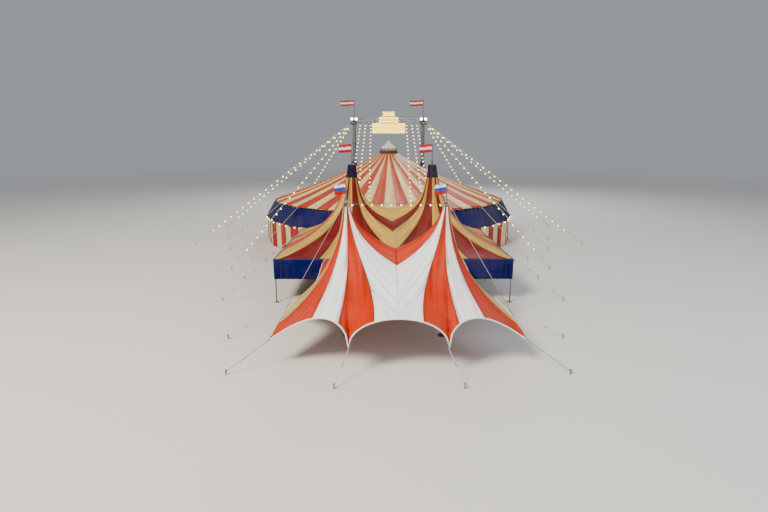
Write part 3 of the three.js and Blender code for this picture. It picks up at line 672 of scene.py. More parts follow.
def roof_sector(name, start):
    """A quarter of the roof: 15 gores from the cupola's ring to the eave. Between two welds the
    cloth sinks as a sine squared, the more the farther out, but not at the ring and the eave. A
    short hem turns down over the eave."""
    gores, columns, sink, hem, mast_hole = 15, 12, 0.07, 0.05, 0.22
    angle = quarter_turn(start, gores * columns)
    seams = math.radians(start) + np.arange(gores + 1) * GORE
    radius = np.linspace(RING_RADIUS, EAVE_RADIUS, 44)[:, None]
    gore = np.clip(((angle - seams[0]) / GORE).astype(int), 0, gores - 1)
    between = np.sin(math.pi * (angle - seams[gore]) / GORE) ** 2
    share = (radius - RING_RADIUS) / (EAVE_RADIUS - RING_RADIUS)
    ends = np.sqrt(np.clip(np.sin(math.pi * share), 0, 1))
    high = roof_height(radius) - sink * between * radius / EAVE_RADIUS * ends
    roof = round_middle(radius, angle[None], high)
    turned_down = round_middle(EAVE_RADIUS + CLOTH, angle, EAVE_HEIGHT - hem)
    points = np.concatenate([roof, turned_down[None]])
    down = np.concatenate([radius, radius[-1:] + hem])
    first = round((seams[0] - FIRST_POLE) / GORE)
    shape = cloth_grid(points, angle, down, down, seams, (first + np.arange(gores)) % 2)
    if name in dict(SIDES):
        cut_hole(shape, dict(SIDES)[name] * MAST_X, 0.0, mast_hole)
    cloth = shape.make(f"roof_cloth_{name}", roof_cloth, "striped_cloth", f"main_roof_{name}",
                       thick=CLOTH)
    declare((17.6, 11.0))


def skirt_sector(name, start):
    """The navy skirt flares out from below the eave. Its folds deepen evenly from the top down,
    and its hem rises as half a sine between two poles."""
    bays, columns, hem_rise, fold_depth = 5, 56, 0.06, 0.045
    angle = quarter_turn(start, bays * columns)
    share = np.linspace(0, 1, 14)[:, None]
    bay = (angle - math.radians(start)) / BAY % 1
    high = SKIRT_TOP - (SKIRT_TOP - SKIRT_BOTTOM - hem_rise * np.sin(math.pi * bay)) * share
    radius = skirt_radius(high) + fold_depth * share * (folds(angle * SKIRT_RADIUS, start) - 0.6)
    points = round_middle(radius, angle[None], high)
    seams = math.radians(start) + np.arange(bays + 1) * BAY
    shape = cloth_grid(points, angle, radius, SKIRT_TOP - high, seams, np.zeros(bays))
    cloth = shape.make(f"skirt_cloth_{name}", navy_cloth, "navy_cloth", f"main_skirt_{name}",
                       thick=CLOTH)
    declare((19.0, 1.8))


def wall_part(name, start, end):
    """The striped lower wall hangs from the skirt's edge to the ground in upright folds, which
    deepen as the share of the way down to the power 0.7."""
    bays, stripes, columns, fold_depth = round((end - start) / 18), 4, 72, 0.04
    angle = np.radians(np.linspace(start, end, bays * columns + 1))
    share = np.linspace(0, 1, 14)[:, None]
    high = WALL_TOP - (WALL_TOP - 0.012) * share
    fold = folds(angle * WALL_RADIUS, start + 5.0) - 0.5
    radius = WALL_RADIUS - 0.015 + fold_depth * share ** 0.7 * fold
    points = round_middle(radius, angle[None], high)
    seams = math.radians(start) + np.arange(bays * stripes + 1) * BAY / stripes
    dyes = np.arange(bays * stripes) % 2
    shape = cloth_grid(points, angle, radius, WALL_TOP - high, seams, dyes)
    cloth = shape.make(f"wall_cloth_{name}", wall_cloth, "striped_cloth", f"main_wall_{name}",
                       thick=CLOTH)
    declare((3.75 * bays, 2.4))


def stake(steel_shape, x, y):
    """A round steel stake with a mushroom head and a collar that keeps the rope down."""
    turned(steel_shape, [(0, 0), (0.03, 0), (0.026, 0.17), (0.045, 0.175), (0.05, 0.2),
                         (0.035, 0.222), (0, 0.226)], x, y, 14)
    drum(steel_shape, x, y, 0.04, 0.1, 0.118, 14)


def guy(rope_shape, steel_shape, top, foot, radius=ROPE):
    """A taut rope from top to a stake, with a rope tensioner near the ground and two turns round
    the stake."""
    end = np.array([*foot, TIE_HEIGHT])
    rod(rope_shape, top, end, radius, 8)
    for high in (TIE_HEIGHT - 0.012, TIE_HEIGHT + 0.016):
        turned(rope_shape, [(0, high - radius), (0.04, high - radius), (0.048, high),
                            (0.04, high + radius), (0, high + radius)], *foot, 12)
    back = (top - end) / np.linalg.norm(top - end)
    rod(steel_shape, end + back * 0.75, end + back * 0.93, radius * 1.7, 8)
    rod(rope_shape, end + back * 0.9, end + back * 0.98, radius * 1.4, 8)
    stake(steel_shape, *foot)


def pole(shape, x, y, sleeve, top):
    """An upright pole of two tubes, with a sleeve over their joint, on a square foot plate with
    four bolts."""
    turned(shape, [(0, 0), (POLE, 0), (POLE, sleeve), (0.052, sleeve + 0.01),
                   (0.052, sleeve + 0.14), (POLE, sleeve + 0.15), (POLE, top), (0, top)], x, y, 20)
    half = 0.13
    block(shape, (x - half, y - half, 0), (x + half, y + half, 0.016))
    for a, b in CORNERS:
        drum(shape, x + a * half * 0.7, y + b * half * 0.7, 0.018, 0.01, 0.03)


def eave_frame(name, start):
    """A quarter of the eave's poles with the rail between them, guy ropes, stakes and the
    lashings that hold the skirt."""
    steel_shape, ropes = Shape(), Shape()
    # How far outside the rail the skirt's top hangs, where the rail is 10.6 from the middle.
    outward = (SKIRT_NECK / RAIL_RADIUS - 1) * 10.6
    for k in range(5):
        angle = math.radians(start) + k * BAY
        top, after = (round_middle(RAIL_RADIUS, angle + a, RAIL_HEIGHT) for a in (0, BAY))
        pole(steel_shape, *top[:2], 1.9, RAIL_HEIGHT + 0.025)
        rod(steel_shape, top, after, RAIL, 14)
        for share in (0.014, 0.986):
            clamp = top + (after - top) * share
            rod(steel_shape, clamp, clamp + (after - top) * 0.012, RAIL * 1.5, 14)
        for share in np.arange(0.08, 1, 0.14):
            hung = top + (after - top) * share
            out = hung[:2] / np.linalg.norm(hung[:2]) * outward
            rod(ropes, hung + (0, 0, RAIL), hung + (*out, SKIRT_TOP - RAIL_HEIGHT), 0.009, 6)
        if name != "front" or k == 0:
            foot = GUY_RADIUS * np.array([math.cos(angle), math.sin(angle)])
            guy(ropes, steel_shape, top, foot)
    node_name = f"eave_frame_{name}"
    steel_shape.make(f"eave_poles_{name}", steel, "galvanised_steel", node_name)
    ropes.make(f"eave_guys_{name}", rope, "rope", node_name)


for build in (eave_frame, roof_sector, skirt_sector):
    for name, start in SECTORS.items():
        build(name, start)
wall_part("right", -81, 45)
wall_part("back", 45, 135)
wall_part("left", 135, 261)


def mast_boot(word, x):
    """A cloth cone that closes the roof round a mast, as rings of a radius and a lift: a flange
    that follows the roof's slope, then level rings up to a band on the mast."""
    rows = []
    for radius, lift in ((0.42, 0.014), (0.36, 0.03), (0.24, 0.12), (0.185, 0.4), (0.18, 0.46),
                         (0.165, 0.46)):
        place = (x, 0) + radius * spokes(40)
        share = np.clip((0.42 - radius) / 0.2, 0, 1)
        base = roof_height(np.hypot(*place.T)) * (1 - share) + roof_height(abs(x)) * share
        rows.append(np.column_stack([place, base + lift]))
    boot = Shape().add(rows, grid_faces(6, 40, wrap=True))
    boot.make(f"mast_boot_{word}", navy_cloth, "navy_cloth", thick=0.01)


def flanged_tube(shape, x, y, outline, joints, radius):
    """A mast: a turned tube with bolted flanges at its joints."""
    turned(shape, outline, x, y)
    rim = radius * 1.5
    for high in joints:
        turned(shape, [(0, high - 0.03), (rim, high - 0.03), (rim, high - 0.003),
                       (radius * 1.46, high), (rim, high + 0.003), (rim, high + 0.03),
                       (0, high + 0.03)], x, y)
        bolt_circle(shape, x, y, radius * 1.26, 8, radius * 0.13, high - 0.05, high + 0.05)


def main_mast(word, side):
    """The main mast with its foot plate, head box, sheaves and flagpole."""
    x = side * MAST_X
    shape = Shape()
    foot = [(0, 0), (0.4, 0), (0.4, 0.05), (0.39, 0.06), (0.17, 0.07), (MAST_TUBE, 0.12)]
    spire = [(MAST_TUBE, HEAD_HIGH), (0.05, HEAD_HIGH + 0.01), (0.035, HEAD_HIGH + 0.06),
             (0.03, POLE_TOP - 0.06), (0, POLE_TOP - 0.05)]
    flanged_tube(shape, x, 0, foot + spire, (2.9, 5.9, 8.9), MAST_TUBE)
    turned(shape, [(0, POLE_TOP - 0.08), (0.035, POLE_TOP - 0.07), (0.05, POLE_TOP - 0.04),
                   (0.035, POLE_TOP - 0.01), (0, POLE_TOP)], x, 0, 16)
    bolt_circle(shape, x, 0, 0.27, 8, 0.03, 0.05, 0.09)
    plate, sheave_height = 0.024, HEAD_LOW + 0.3
    for low, high in ((HEAD_LOW, HEAD_LOW + 0.05), (HEAD_HIGH - 0.05, HEAD_HIGH)):
        block(shape, (x - HEAD, -HEAD, low), (x + HEAD, HEAD, high))
    for a in (-1, 1):
        block(shape, (x + a * HEAD, -HEAD, HEAD_LOW), (x + a * (HEAD - plate), HEAD, HEAD_HIGH))
        for half, radius, sides in ((HEAD, 0.025, 12), (0.03, 0.1, 24)):
            rod(shape, (x - half, a * 0.19, sheave_height), (x + half, a * 0.19, sheave_height),
                radius, sides)
        block(shape, (x - HEAD, a * HEAD, HEAD_LOW),
              (x + HEAD, a * (HEAD - plate), HEAD_LOW + 0.2))
    shape.make(f"mast_steel_{word}", painted, "painted_steel", f"main_mast_{word}",
               smooth=False, bevel=0.004)
    mast_boot(word, x)


def cupola_ring():
    """The cloth-covered ring that carries the roof's top edge, with posts for the cap and four
    hoist cables up to the bridge."""
    posts, band, cables = Shape(), Shape(), Shape()
    low, high = RING_HEIGHT + 0.001, RING_TOP
    # The ring's outline is carried round, with 24 shallow waves in its cloth.
    around, ripple = spokes(96), 0.008 * np.cos(np.arange(96) * math.pi / 2)
    rows = []
    inner, outer = RING_RADIUS - 0.16, RING_RADIUS + 0.05
    for radius, z in ((inner, low), (outer, low), (outer + 0.01, low + 0.04),
                      (outer + 0.01, high - 0.04), (outer, high), (inner, high), (inner, low)):
        far = radius + ripple * (radius > outer)
        rows.append(np.column_stack([around * far[:, None], np.full(96, z)]))
    band.add(rows, grid_faces(7, 96, wrap=True))
    for x, y in spokes(8) * (RING_RADIUS - 0.1):
        turned(posts, [(0, high - 0.02), (0.05, high - 0.02), (0.05, high + 0.01),
                       (0.03, high + 0.02), (0.03, CAP_BOTTOM), (0, CAP_BOTTOM)], x, y, 14)
    hoist_y = 0.17
    hoist_x = math.sqrt((outer - 0.03) ** 2 - hoist_y ** 2)
    for a, b in CORNERS:
        x, y = a * hoist_x, b * hoist_y
        rod(cables, (x, y, high), (x, y, TRUSS_LOW), 0.01, 8)
        drum(posts, x, y, 0.026, high, high + 0.24, 10)
    posts.make("cupola_posts", steel, "galvanised_steel", "cupola_ring")
    band.make("cupola_band", band_cloth, "red_cloth", "cupola_ring")
    cables.make("cupola_hoist_cables", alloy, "galvanised_steel", "cupola_ring")


def cupola_cap():
    """The pale cap: a cone of twelve gores that sink as a sine squared between their seams, on a
    turned plate with a rod up to its finial."""
    angle = np.linspace(0, 2 * math.pi, 12 * 10 + 1)
    profile = np.array([(0.02, CAP_TOP), (0.1, 9.07), (0.2, 8.955), (0.3, 8.84), (0.365, 8.77),
                        (0.5, 8.65), (0.64, 8.535), (CAP_RADIUS, 8.46), (CAP_RADIUS + 0.004, 8.4)])
    radius, high = profile[:, :1], profile[:, 1:]
    drop = 0.02 * np.sin(6 * angle) ** 2 * np.sin(math.pi * np.clip(radius / CAP_RADIUS, 0, 1))
    points = np.stack([radius * np.cos(angle), radius * np.sin(angle), high - drop], -1)
    cap = cloth_grid(points, angle, radius, radius, np.arange(13) * math.pi / 6, np.ones(12))
    cloth = cap.make("cupola_cap_cloth", band_cloth, "cream_cloth", "cupola_cap", thick=CLOTH)
    declare((1.9, 1.9))
    inside = Shape()
    turned(inside, [(0, CAP_TOP - 0.03), (0.03, CAP_TOP - 0.02), (0.045, CAP_TOP + 0.02),
                    (0.03, CAP_TOP + 0.05), (0, CAP_TOP + 0.06)], 0, 0, 16)
    rod(inside, (0, 0, CAP_BOTTOM), (0, 0, CAP_TOP), 0.02, 10)
    turned(inside, [(0, CAP_BOTTOM), (CAP_RADIUS - 0.04, CAP_BOTTOM),
                    (CAP_RADIUS - 0.02, CAP_BOTTOM + 0.02), (CAP_RADIUS - 0.04, CAP_BOTTOM + 0.03),
                    (0, CAP_BOTTOM + 0.03)], 0, 0, 48)
    inside.make("cupola_cap_frame", steel, "galvanised_steel", "cupola_cap")


def bridge():
    """The lattice bridge: four round chords with zigzag braces on all four sides."""
    shape = Shape()
    chord, steps = 0.03, 14
    end, half = MAST_X - HEAD, TRUSS_DEPTH / 2 - chord
    low, high = TRUSS_LOW + chord, TRUSS_HIGH - chord
    for y in (-half, half):
        for z in (low, high):
            rod(shape, (-end, y, z), (end, y, z), chord, 14)
            for x in (-1.5, 1.5):
                rod(shape, (x - 0.04, y, z), (x + 0.04, y, z), 0.045, 14)
    knots = np.linspace(-end + 0.05, end - 0.05, steps + 1)
    for k, (x0, x1) in enumerate(zip(knots, knots[1:])):
        turn = -1 if k % 2 else 1
        (y0, y1), (z0, z1) = (-half, half)[::turn], (low, high)[::turn]
        for y in (-half, half):
            rod(shape, (x0, y, z0), (x1, y, z1), 0.014, 8)
        for z in (low, high):
            rod(shape, (x0, y0, z), (x1, y1, z), 0.012, 8)
    for a in (-1, 1):
        block(shape, (a * end, -half - chord, TRUSS_LOW),
              (a * (end - 0.02), half + chord, TRUSS_HIGH))
    shape.make("bridge_lattice", alloy, "truss_alloy", "bridge_truss")


def light_board():
    """The stepped board on the front of the bridge: a case, a lit face behind a raised rim, and
    even rows of bulbs over the face and along the rim."""
    case, face = Shape(), Shape()
    places = []
    rim_back = BOARD_FRONT + BOARD_RIM
    for half, low, high in BOARD:
        topmost = high == BOARD[-1][-1]
        block(case, (-half, rim_back, low), (half, BOARD_BACK, high))
        block(face, (0.06 - half, BOARD_FRONT + 0.03, low + 0.06),
              (half - 0.06, BOARD_FRONT + 0.055, high - (0.06 if topmost else 0.0)))
        for a in (-1, 1):
            block(case, (a * half, BOARD_FRONT, low), (a * (half - BOARD_RIM), rim_back, high))
            places += [(a * (half - BOARD_RIM / 2), BOARD_FRONT, z)
                       for z in np.arange(low + 0.1, high, BULB_PITCH)]
        rows = np.linspace(low + BULB_PITCH, high - (BULB_PITCH if topmost else 0.06),
                           round((high - low) / BULB_PITCH) - 1)
        across = np.linspace(BULB_PITCH - half, half - BULB_PITCH, round(half * 2 / BULB_PITCH) - 1)
        places += [(x, BOARD_FRONT + 0.03, z) for z in rows for x in across]
    (w0, low0, high0), (w1, _, high1), (w2, _, high2) = BOARD
    for x0, x1, z in ((-w0, w0, low0 + 0.025), (w1, w0, high0 - 0.025), (-w0, -w1, high0 - 0.025),
                      (w2, w1, high1 - 0.025), (-w1, -w2, high1 - 0.025), (-w2, w2, high2 - 0.025)):
        block(case, (x0, BOARD_FRONT, z - 0.025), (x1, rim_back, z + 0.025))
        places += [(x, BOARD_FRONT, z) for x in np.arange(x0 + 0.09, x1 - 0.04, BULB_PITCH)]
    # Four bars on the back, each with a plate against the bridge's chords.
    for x in (-1.3, -0.45, 0.45, 1.3):
        rod(case, (x, BOARD_BACK, low0 + 0.1), (x, BOARD_BACK, TRUSS_LOW), 0.025, 8)
        block(case, (x - 0.03, BOARD_BACK - 0.02, TRUSS_LOW - 0.03),
              (x + 0.03, BOARD_BACK + 0.02, TRUSS_HIGH - 0.03))
    case.make("light_board_case", painted, "painted_steel", "light_board", smooth=False,
              bevel=0.004)
    face.make("light_board_face", panel_light, "lit_panel", "light_board", smooth=False)
    return np.array(places)


def floodlamps(word, side):
    """Two floodlamps on a bracket before a mast head: finned housing, hood, yoke and glass."""
    x, back = side * MAST_X, -HEAD
    shelf, foot, top, pivot = 10.95, 11.0, 11.2, 11.12
    shape, glass = Shape(), Shape()
    block(shape, (x - 0.32, back - 0.06, shelf), (x + 0.32, back, shelf + 0.03))
    block(shape, (x - 0.32, back - 0.06, shelf + 0.03), (x + 0.32, back - 0.045, shelf + 0.08))
    for middle in (x - 0.2, x + 0.2):
        # Housing, front frame and hood, then the glass: half width, depths and heights of each.
        for piece, half, near, far, low, high in (
            (shape, 0.12, 0.07, 0.2, foot - 0.01, top + 0.01),
            (shape, 0.13, 0.2, 0.24, foot - 0.02, top + 0.02),
            (shape, 0.13, 0.2, 0.275, top + 0.015, top + 0.025),
            (glass, 0.11, 0.238, 0.247, foot, top),
        ):
            block(piece, (middle - half, back - far, low), (middle + half, back - near, high))
        for fin in middle - 0.1 + np.arange(6) * 0.04:
            block(shape, (fin - 0.006, back - 0.07, foot), (fin + 0.006, back - 0.03, top))
        for yoke in (middle - 0.135, middle + 0.135):
            rod(shape, (yoke, back - 0.13, shelf + 0.02), (yoke, back - 0.13, pivot), 0.012, 8)
    shape.make(f"floodlamp_housing_{word}", painted, "painted_steel", f"floodlamps_{word}",
               smooth=False, bevel=0.003)
    glass.make(f"floodlamp_glass_{word}", flood_glass, "lit_panel", f"floodlamps_{word}",
               smooth=False)


def mast_stays(word, side):
    """A collar under a mast head with four stays to the ground, each with a turnbuckle. Gives the
    two ends of the bulbs on each stay."""
    x = side * MAST_X
    collar, ropes = Shape(), Shape()
    inner, outer, low, high = HEAD, HEAD + 0.06, 10.7, 10.82
    block(collar, (x + side * inner, -outer, low), (x + side * outer, outer, high))
    for y in (-outer, inner):
        block(collar, (x - side * 0.1, y, low), (x + side * outer, y + outer - inner, high))
    lines = []
    for degrees in STAY_ANGLES:
        angle = math.radians(degrees)
        foot = np.array([side * math.cos(angle), math.sin(angle)]) * STAY_RADIUS
        y = math.copysign(outer - 0.03 if abs(degrees) > 30 else 0.1, degrees)
        start, end = np.array([x + side * (outer - 0.03), y, STAY_HEIGHT]), (*foot, TIE_HEIGHT)
        guy(ropes, collar, start, foot, 0.017)
        # A metre down the stay, which falls by about STAY_DROP.
        way = (end - start) / math.hypot(*(foot - start[:2]), STAY_DROP)
        rod(collar, start + way * 0.04, start + way * 0.34, 0.03, 12)
        lines.append((start + way * 0.5, end - way * 1.6))
    collar.make(f"stay_fittings_{word}", steel, "galvanised_steel", f"mast_stays_{word}")
    ropes.make(f"stay_ropes_{word}", rope, "rope", f"mast_stays_{word}")
    return lines


cupola_ring()
cupola_cap()
bridge()
board_places = light_board()
stay_lines = []
for word, side in SIDES:
    main_mast(word, side)
    floodlamps(word, side)
    stay_lines += mast_stays(word, side)


# The foyer tent and the entrance canopy


def peak_mast(tent, word, side):
    """A mast of a peaked tent: foot plate, tube, crown with eyes for the cloth, cap and pole."""
    x, y = side * tent.mast[0], tent.mast[1]
    tube, peak, top, crown = tent.tube, tent.peak, tent.top, tent.crown * 0.97
    shape = Shape()
    foot = [(0, 0), (3 * tube, 0), (3 * tube, 0.03), (2.9 * tube, 0.04), (1.05 * tube, 0.05),
            (tube, 0.1)]
    bell = [(tube, peak - 0.3), (1.05 * tube, peak - 0.28), (crown * 0.8, peak - 0.1),
            (crown, peak - 0.05), (crown, peak), (crown * 0.93, peak + 0.012)]
    spire = [(0.62 * tube, peak + 0.06), (0.6 * tube, peak + 0.34), (0.035, peak + 0.345),
             (0.03, peak + 0.4), (0.024, top - 0.05), (0, top - 0.04)]
    flanged_tube(shape, x, y, [*foot, *bell, *spire], tent.joints, tube)
    turned(shape, [(0, top - 0.07), (0.03, top - 0.06), (0.042, top - 0.035), (0.03, top - 0.01),
                   (0, top)], x, y, 16)
    for out_x, out_y in spokes(16) * crown:
        inner, outer = ((x + out_x * part, y + out_y * part, peak + 0.02) for part in (0.75, 0.98))
        rod(shape, inner, outer, 0.012, 8)
    bolt_circle(shape, x, y, 2.3 * tube, 6, 0.02, 0.03, 0.06)
    shape.make(f"{tent.label}_mast_steel_{word}", painted, "painted_steel",
               f"{tent.label}_mast_{word}", smooth=False, bevel=0.003)


def foyer_frame(word, side):
    """Eave rails round the foyer tent's half, with poles and guy ropes."""
    front, middle, rear = Foyer.front, (Foyer.front + Foyer.rear) / 2, Foyer.rear
    steel_shape, ropes = Shape(), Shape()

    def at_rail(x, y):
        return side * x, y, Foyer.rail

    corners = [(0.0, front), *Foyer.tips, (0.0, rear)]
    for start, end in zip(corners, corners[1:]):
        rod(steel_shape, at_rail(*start), at_rail(*end), RAIL, 14)
    guyed = [(Foyer.half, y) for y in (front, middle, rear)]
    for x, y in ((Foyer.passage, front), *guyed, (Foyer.passage, rear)):
        pole(steel_shape, side * x, y, 1.3, Foyer.rail + 0.012)
        rod(steel_shape, at_rail(x, y - 0.07), at_rail(x, y + 0.07), RAIL * 1.4, 12)
    for place, (foot_x, foot_y) in zip(guyed, Foyer.feet):
        guy(ropes, steel_shape, at_rail(*place), (side * foot_x, foot_y))
    steel_shape.make(f"foyer_poles_{word}", steel, "galvanised_steel", f"foyer_frame_{word}")
    ropes.make(f"foyer_guys_{word}", rope, "rope", f"foyer_frame_{word}")


def foyer_valance(word, side):
    """The navy valance hangs outside the poles, round the front corner, in folds that deepen
    evenly from the top down, and is lashed to the rail."""
    out, top, fold_depth = POLE + 0.04, Foyer.eave - 0.01, 0.03
    corners = np.array([(Foyer.passage, Foyer.front - out), (Foyer.half + out, Foyer.front - out),
                        (Foyer.half + out, Foyer.rear)])
    reach = lengths_along(corners)
    whole = reach[-1]

    def place(along):
        return np.interp(along, reach, corners[:, 0]), np.interp(along, reach, corners[:, 1])

    along = np.linspace(0, whole, 420)
    x, y = place(along)
    share = np.linspace(0, 1, 12)[:, None]
    wave = fold_depth * share * (folds(along, 3.0) - 0.7)
    on_front = along < reach[1]
    high = top - (top - Foyer.valance) * share * np.ones_like(along)
    points = np.stack([x + np.where(on_front, 0, wave), y - np.where(on_front, wave, 0), high], -1)
    seams = np.array([*np.arange(0, whole, 2.4), whole + 0.01])
    shape = cloth_grid(mirror(points, side), along, 1.0, Foyer.eave - high, seams,
                       np.zeros(len(seams) - 1))
    if side < 0:
        turn_over(shape)
    cloth = shape.make(f"foyer_valance_cloth_{word}", navy_cloth, "navy_cloth",
                       f"foyer_valance_{word}", thick=CLOTH)
    declare((whole + 0.6, 1.18))
    lashings = Shape()
    for s in np.arange(0.3, whole, 0.6):
        x, y = place(s)
        over_rail = (side * min(x, Foyer.half), max(y, Foyer.front), Foyer.rail + RAIL)
        rod(lashings, over_rail, (side * x, y, Foyer.rail - 0.02), 0.008, 6)
    lashings.make(f"valance_lashings_{word}", white_rope, "rope")


def tip_fittings(word, side, tip, label, foot, node_name, stay=False):
    """What holds a pulled-down tip: a steel ring, and a guy to a stake. The corner's guy goes on as
    a stay to a collar over the mast's crown."""
    mast_x, mast_y = Entrance.mast
    tip = np.asarray(tip, float)
    out = (tip - (mast_x, mast_y, 0.0)) * (1, 1, 0)
    out /= np.linalg.norm(out)
    across = np.array([-out[1], out[0], 0.0])
    ring = tip + out * 0.04 - (0, 0, 0.02)
    steel_shape, ropes = Shape(), Shape()
    turn = np.linspace(0, 2 * math.pi, 25)
    circle = ring + (np.outer(np.cos(turn), out) + np.outer(np.sin(turn), across)) * 0.045
    sweep(steel_shape, mirror(circle, side), 0.014, 8)
    guy(ropes, steel_shape, mirror(ring, side), (side * foot[0], foot[1]))
    if stay:
        inner, high = 0.6 * Entrance.tube, Entrance.peak + 0.23
        drum(steel_shape, side * mast_x, mast_y, inner + 0.04, high - 0.03, high + 0.03, 20)
        collar = (mast_x, mast_y, high) + out * (inner + 0.02)
        rod(ropes, mirror(collar, side), mirror(ring, side), ROPE, 8)
    steel_shape.make(f"{label}_fittings_{word}", steel, "galvanised_steel", node_name)
    ropes.make(f"{label}_rope_{word}", grey_rope if stay else rope, "rope", node_name)


def dress_canopy(tent, word, side, hems):
    """Sews ropes into a canopy's hem. Each rope has a name, the first run of the edge that it
    follows, the run where it ends, and a look."""
    cloth, points, runs = canopies[tent.label, word]
    for name, first, last, look in hems:
        rim = np.concatenate([*runs[first:last], runs[last][:1]])[::8, :3] - (0, 0, 0.01)
        line = sweep(Shape(), mirror(rim, side), 0.032, 8)
        line.make(f"{name}_{word}", look, "rope")
    declare(tent.flat)


def flag(label, word, pole_top, radius, length, height, dyes):
    """A flag in plain bands that streams to the left from its pole. It droops as s squared, and
    its sine waves grow evenly, where s goes from 0 at the pole to 1 at the free end."""
    x, y, top = pole_top
    s = np.linspace(0, 1, 40)[:, None]
    drop = np.linspace(0, height, 19)
    high = top - 0.02 - drop + 0.02 * np.sin(s * 9) * s - 0.08 * s ** 2
    wave = 0.07 * np.sin(2 * math.pi * s + 0.9 * drop) * s + 0.02 * np.sin(s * 17 + drop * 5) * s
    points = np.stack(np.broadcast_arrays(x - radius - s * length, y + wave, high), -1)
    seams = np.linspace(0, height, len(dyes) + 1)
    seams[-1] += 1e-6
    shape = cloth_grid(points, drop, 1.0, s * length, seams, dyes)
    cloth = shape.make(f"{label}_flag_cloth_{word}", flag_cloth, "flag_cloth",
                       f"{label}_flag_{word}", thick=0.006)
    declare((length * 1.08, height))


for word, side in SIDES:
    for tent in (Foyer, Entrance):
        peak_mast(tent, word, side)
    foyer_frame(word, side)
    foyer_valance(word, side)
    for label, tip, foot, carrier in (
        ("front_tip", Entrance.inner, Entrance.inner_stake, "entrance_front_guy"),
        ("side_tip", Entrance.side, Entrance.side_stake, "entrance_side_guy"),
        ("corner_tip", Entrance.corner, Entrance.corner_stake, "entrance_corner_stay"),
    ):
        tip_fittings(word, side, tip, label, foot, f"{carrier}_{word}", label == "corner_tip")
    # The entrance has a white rope along its front arches and a plain one on the sides and rear.
    dress_canopy(Entrance, word, side, (("entrance_hem_rope", 1, 3, white_rope),
                                        ("entrance_side_hem_rope", 3, 6, rope)))
    dress_canopy(Foyer, word, side, (("foyer_hem_rope", 1, 4, navy_rope),))
    flag("main", word, (side * MAST_X, 0, POLE_TOP), 0.035, 1.25, 0.5, (0, 1, 0))
    for tent, length, height, dyes in ((Foyer, 0.8, 0.5, (0, 1, 0)),
                                       (Entrance, 0.5, 0.45, (1, 2, 0))):
        top = (side * tent.mast[0], tent.mast[1], tent.top)
        flag(tent.label, word, top, 0.03, length, height, dyes)


# Lights


def along_line(start, end, step):
    """Even places between two ends, about a step apart."""
    start, end = np.asarray(start, float), np.asarray(end, float)
    count = max(2, int(np.linalg.norm(end - start) / step))
    return start + (end - start) * (np.arange(count) + 0.5)[:, None] / count


def turned_pattern(outline, size=1.0):
    """A small turned shape round the origin, to be copied."""
    return turned(Shape(), np.array(outline) * size, 0, 0, 8)


def bulbs(name, places, size=1.0):
    """Bulbs that hang from their cable: a dark socket and a lit drop-shaped glass."""
    drop = turned_pattern([(0, -0.16), (0.04, -0.145), (0.062, -0.105), (0.05, -0.06),
                           (0.028, -0.035), (0, -0.035)], size)
    cup = turned_pattern([(0, -0.05), (0.032, -0.05), (0.032, 0.012), (0, 0.014)], size)
    copies(Shape(), drop, places).make(f"{name}_bulbs", bulb_glass, "lit_panel")
    copies(Shape(), cup, places).make(f"{name}_sockets", cable, "rope")


def ridge_cable():
    """The cable between the entrance masts, with small bulbs."""
    reach = Entrance.mast[0] - 0.6 * Entrance.tube
    left, right = ((x, Entrance.mast[1], Entrance.peak + 0.12) for x in (-reach, reach))
    line = rod(Shape(), left, right, ROPE)
    line.make("entrance_ridge_rope", cable, "rope", "entrance_ridge_cable")
    bulbs("ridge", along_line(left, right, 0.42), 0.6)


def skirt_bulbs():
    """A row of bulbs along the skirt's lower edge, three to a bay."""
    angle = FIRST_POLE + (np.arange(60) + 0.5) * 2 * math.pi / 60
    bulbs("skirt", round_middle(SKIRT_RADIUS + 0.02, angle, SKIRT_BOTTOM + 0.06))


def light_strings():
    """Three strings of bulbs on each side, from the bridge's underside to the big top's front
    eave. Each is given by how far its two ends lie from the middle line."""
    strings, places, eave_reach = Shape(), [], 10.7
    for _, side in SIDES:
        for top_x, low_x in ((2.66, 3.25), (2.17, 2.65), (1.68, 1.62)):
            bearing = -math.acos(low_x / eave_reach)
            low = mirror(round_middle(EAVE_RADIUS + 0.03, bearing, EAVE_HEIGHT - 0.02), side)
            top = (side * top_x, 0.03 - TRUSS_DEPTH / 2, TRUSS_LOW)
            rod(strings, top, low, 0.009, 8)
            places.append(along_line(top, low, 0.55))
    strings.make("light_string_cables", cable, "rope")
    bulbs("string", np.concatenate(places), 0.9)


bulbs("stay", np.concatenate([along_line(start, end, 0.65) for start, end in stay_lines]))
ridge_cable()
skirt_bulbs()
light_strings()
dome = turned_pattern([(0, -0.03), (0.03, -0.03), (0.045, 0.0), (0.03, 0.03), (0, 0.035)])
board_bulbs = copies(Shape(), dome, board_places - (0, 0.015, 0))
board_bulbs.make("board_bulbs", gold_glass, "lit_panel", "light_board")


# Stage

AIR, AIR_STRENGTH = "DDE2E8", 0.45


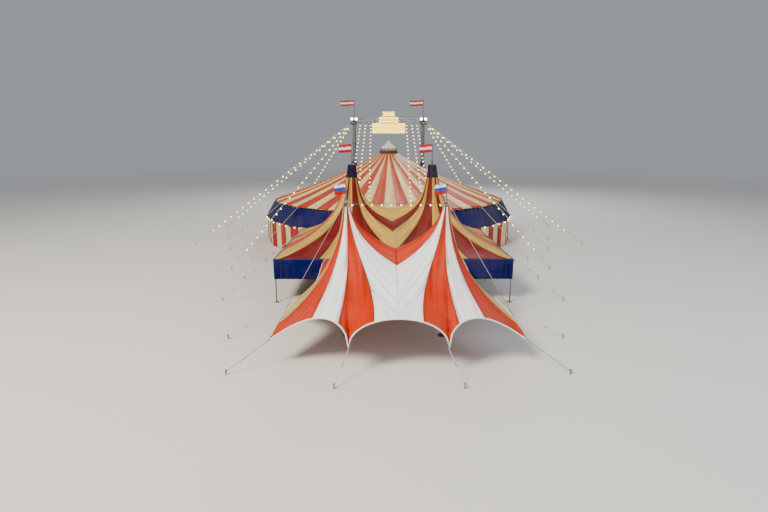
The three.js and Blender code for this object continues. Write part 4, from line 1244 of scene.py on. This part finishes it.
def floor_paint(add):
    """Pale paint that passes far out into the colour of the air, so that no horizon shows."""
    far = add("VectorMath", {0: add("TexCoord", out="Object")}, out=1, operation="LENGTH")
    away = add("MapRange", {0: far, 1: 18.0, 2: 70.0, 3: 0.0, 4: 1.0})
    glow = add("Math", {0: away, 1: AIR_STRENGTH}, operation="MULTIPLY")
    colour = add("Mix", {0: away, 6: linear("D9D7D2"), 7: linear("000000")}, **COLOUR)
    return {"Base Color": colour, "Roughness": 0.9, "Specular IOR Level": 0.0,
            "Emission Color": linear(AIR), "Emission Strength": glow}


def studio_floor():
    """A wide pale floor for the render alone."""
    half = 400
    corners = [(a * half, b * half, 0) for a, b in ((-1, -1), (1, -1), (1, 1), (-1, 1))]
    mesh = bpy.data.meshes.new("studio_floor")
    mesh.from_pydata(corners, [], [(0, 1, 2, 3)])
    mesh.materials.append(material("studio_floor_paint", floor_paint))
    floor = bpy.data.objects.new("studio_floor", mesh)
    bpy.context.scene.collection.objects.link(floor)


def area_light(name, place, aim, size, power, code):
    """A round lamp of the stage, turned to what it lights."""
    data = bpy.data.lights.new(name, "AREA")
    data.shape, data.size, data.energy, data.color = "DISK", size, power, linear(code)[:3]
    lamp = bpy.data.objects.new(name, data)
    lamp.location = place
    lamp.rotation_mode = "QUATERNION"
    lamp.rotation_quaternion = (Vector(aim) - Vector(place)).to_track_quat("-Z", "Y")
    bpy.context.scene.collection.objects.link(lamp)


studio_floor()
area_light("key_light", (-14, -26, 22), (0, -2, 1), 9, 15000, "FFF3E4")
area_light("fill_light", (20, -20, 12), (0, -1, 2), 14, 3000, "E4EEFF")
area_light("back_light", (4, 26, 18), (0, 3, 2), 12, 4500, "FFFFFF")
world = bpy.data.worlds.new("studio_air")
world.use_nodes = True
air = world.node_tree.nodes["Background"].inputs
air[0].default_value, air[1].default_value = linear(AIR), AIR_STRENGTH
bpy.context.scene.world = world

# Camera: 9 m over the real ground and 50 m before the big top's middle.
lens = bpy.data.cameras.new("camera")
lens.lens, lens.sensor_width = 24, 36
lens.clip_end = 1000
camera = bpy.data.objects.new("camera", lens)
camera.location = to_model((-0.66, -50, 9.0))
camera.rotation_euler = Euler((math.radians(77.45), 0, math.radians(-0.257)))
bpy.context.scene.collection.objects.link(camera)
bpy.context.scene.camera = camera
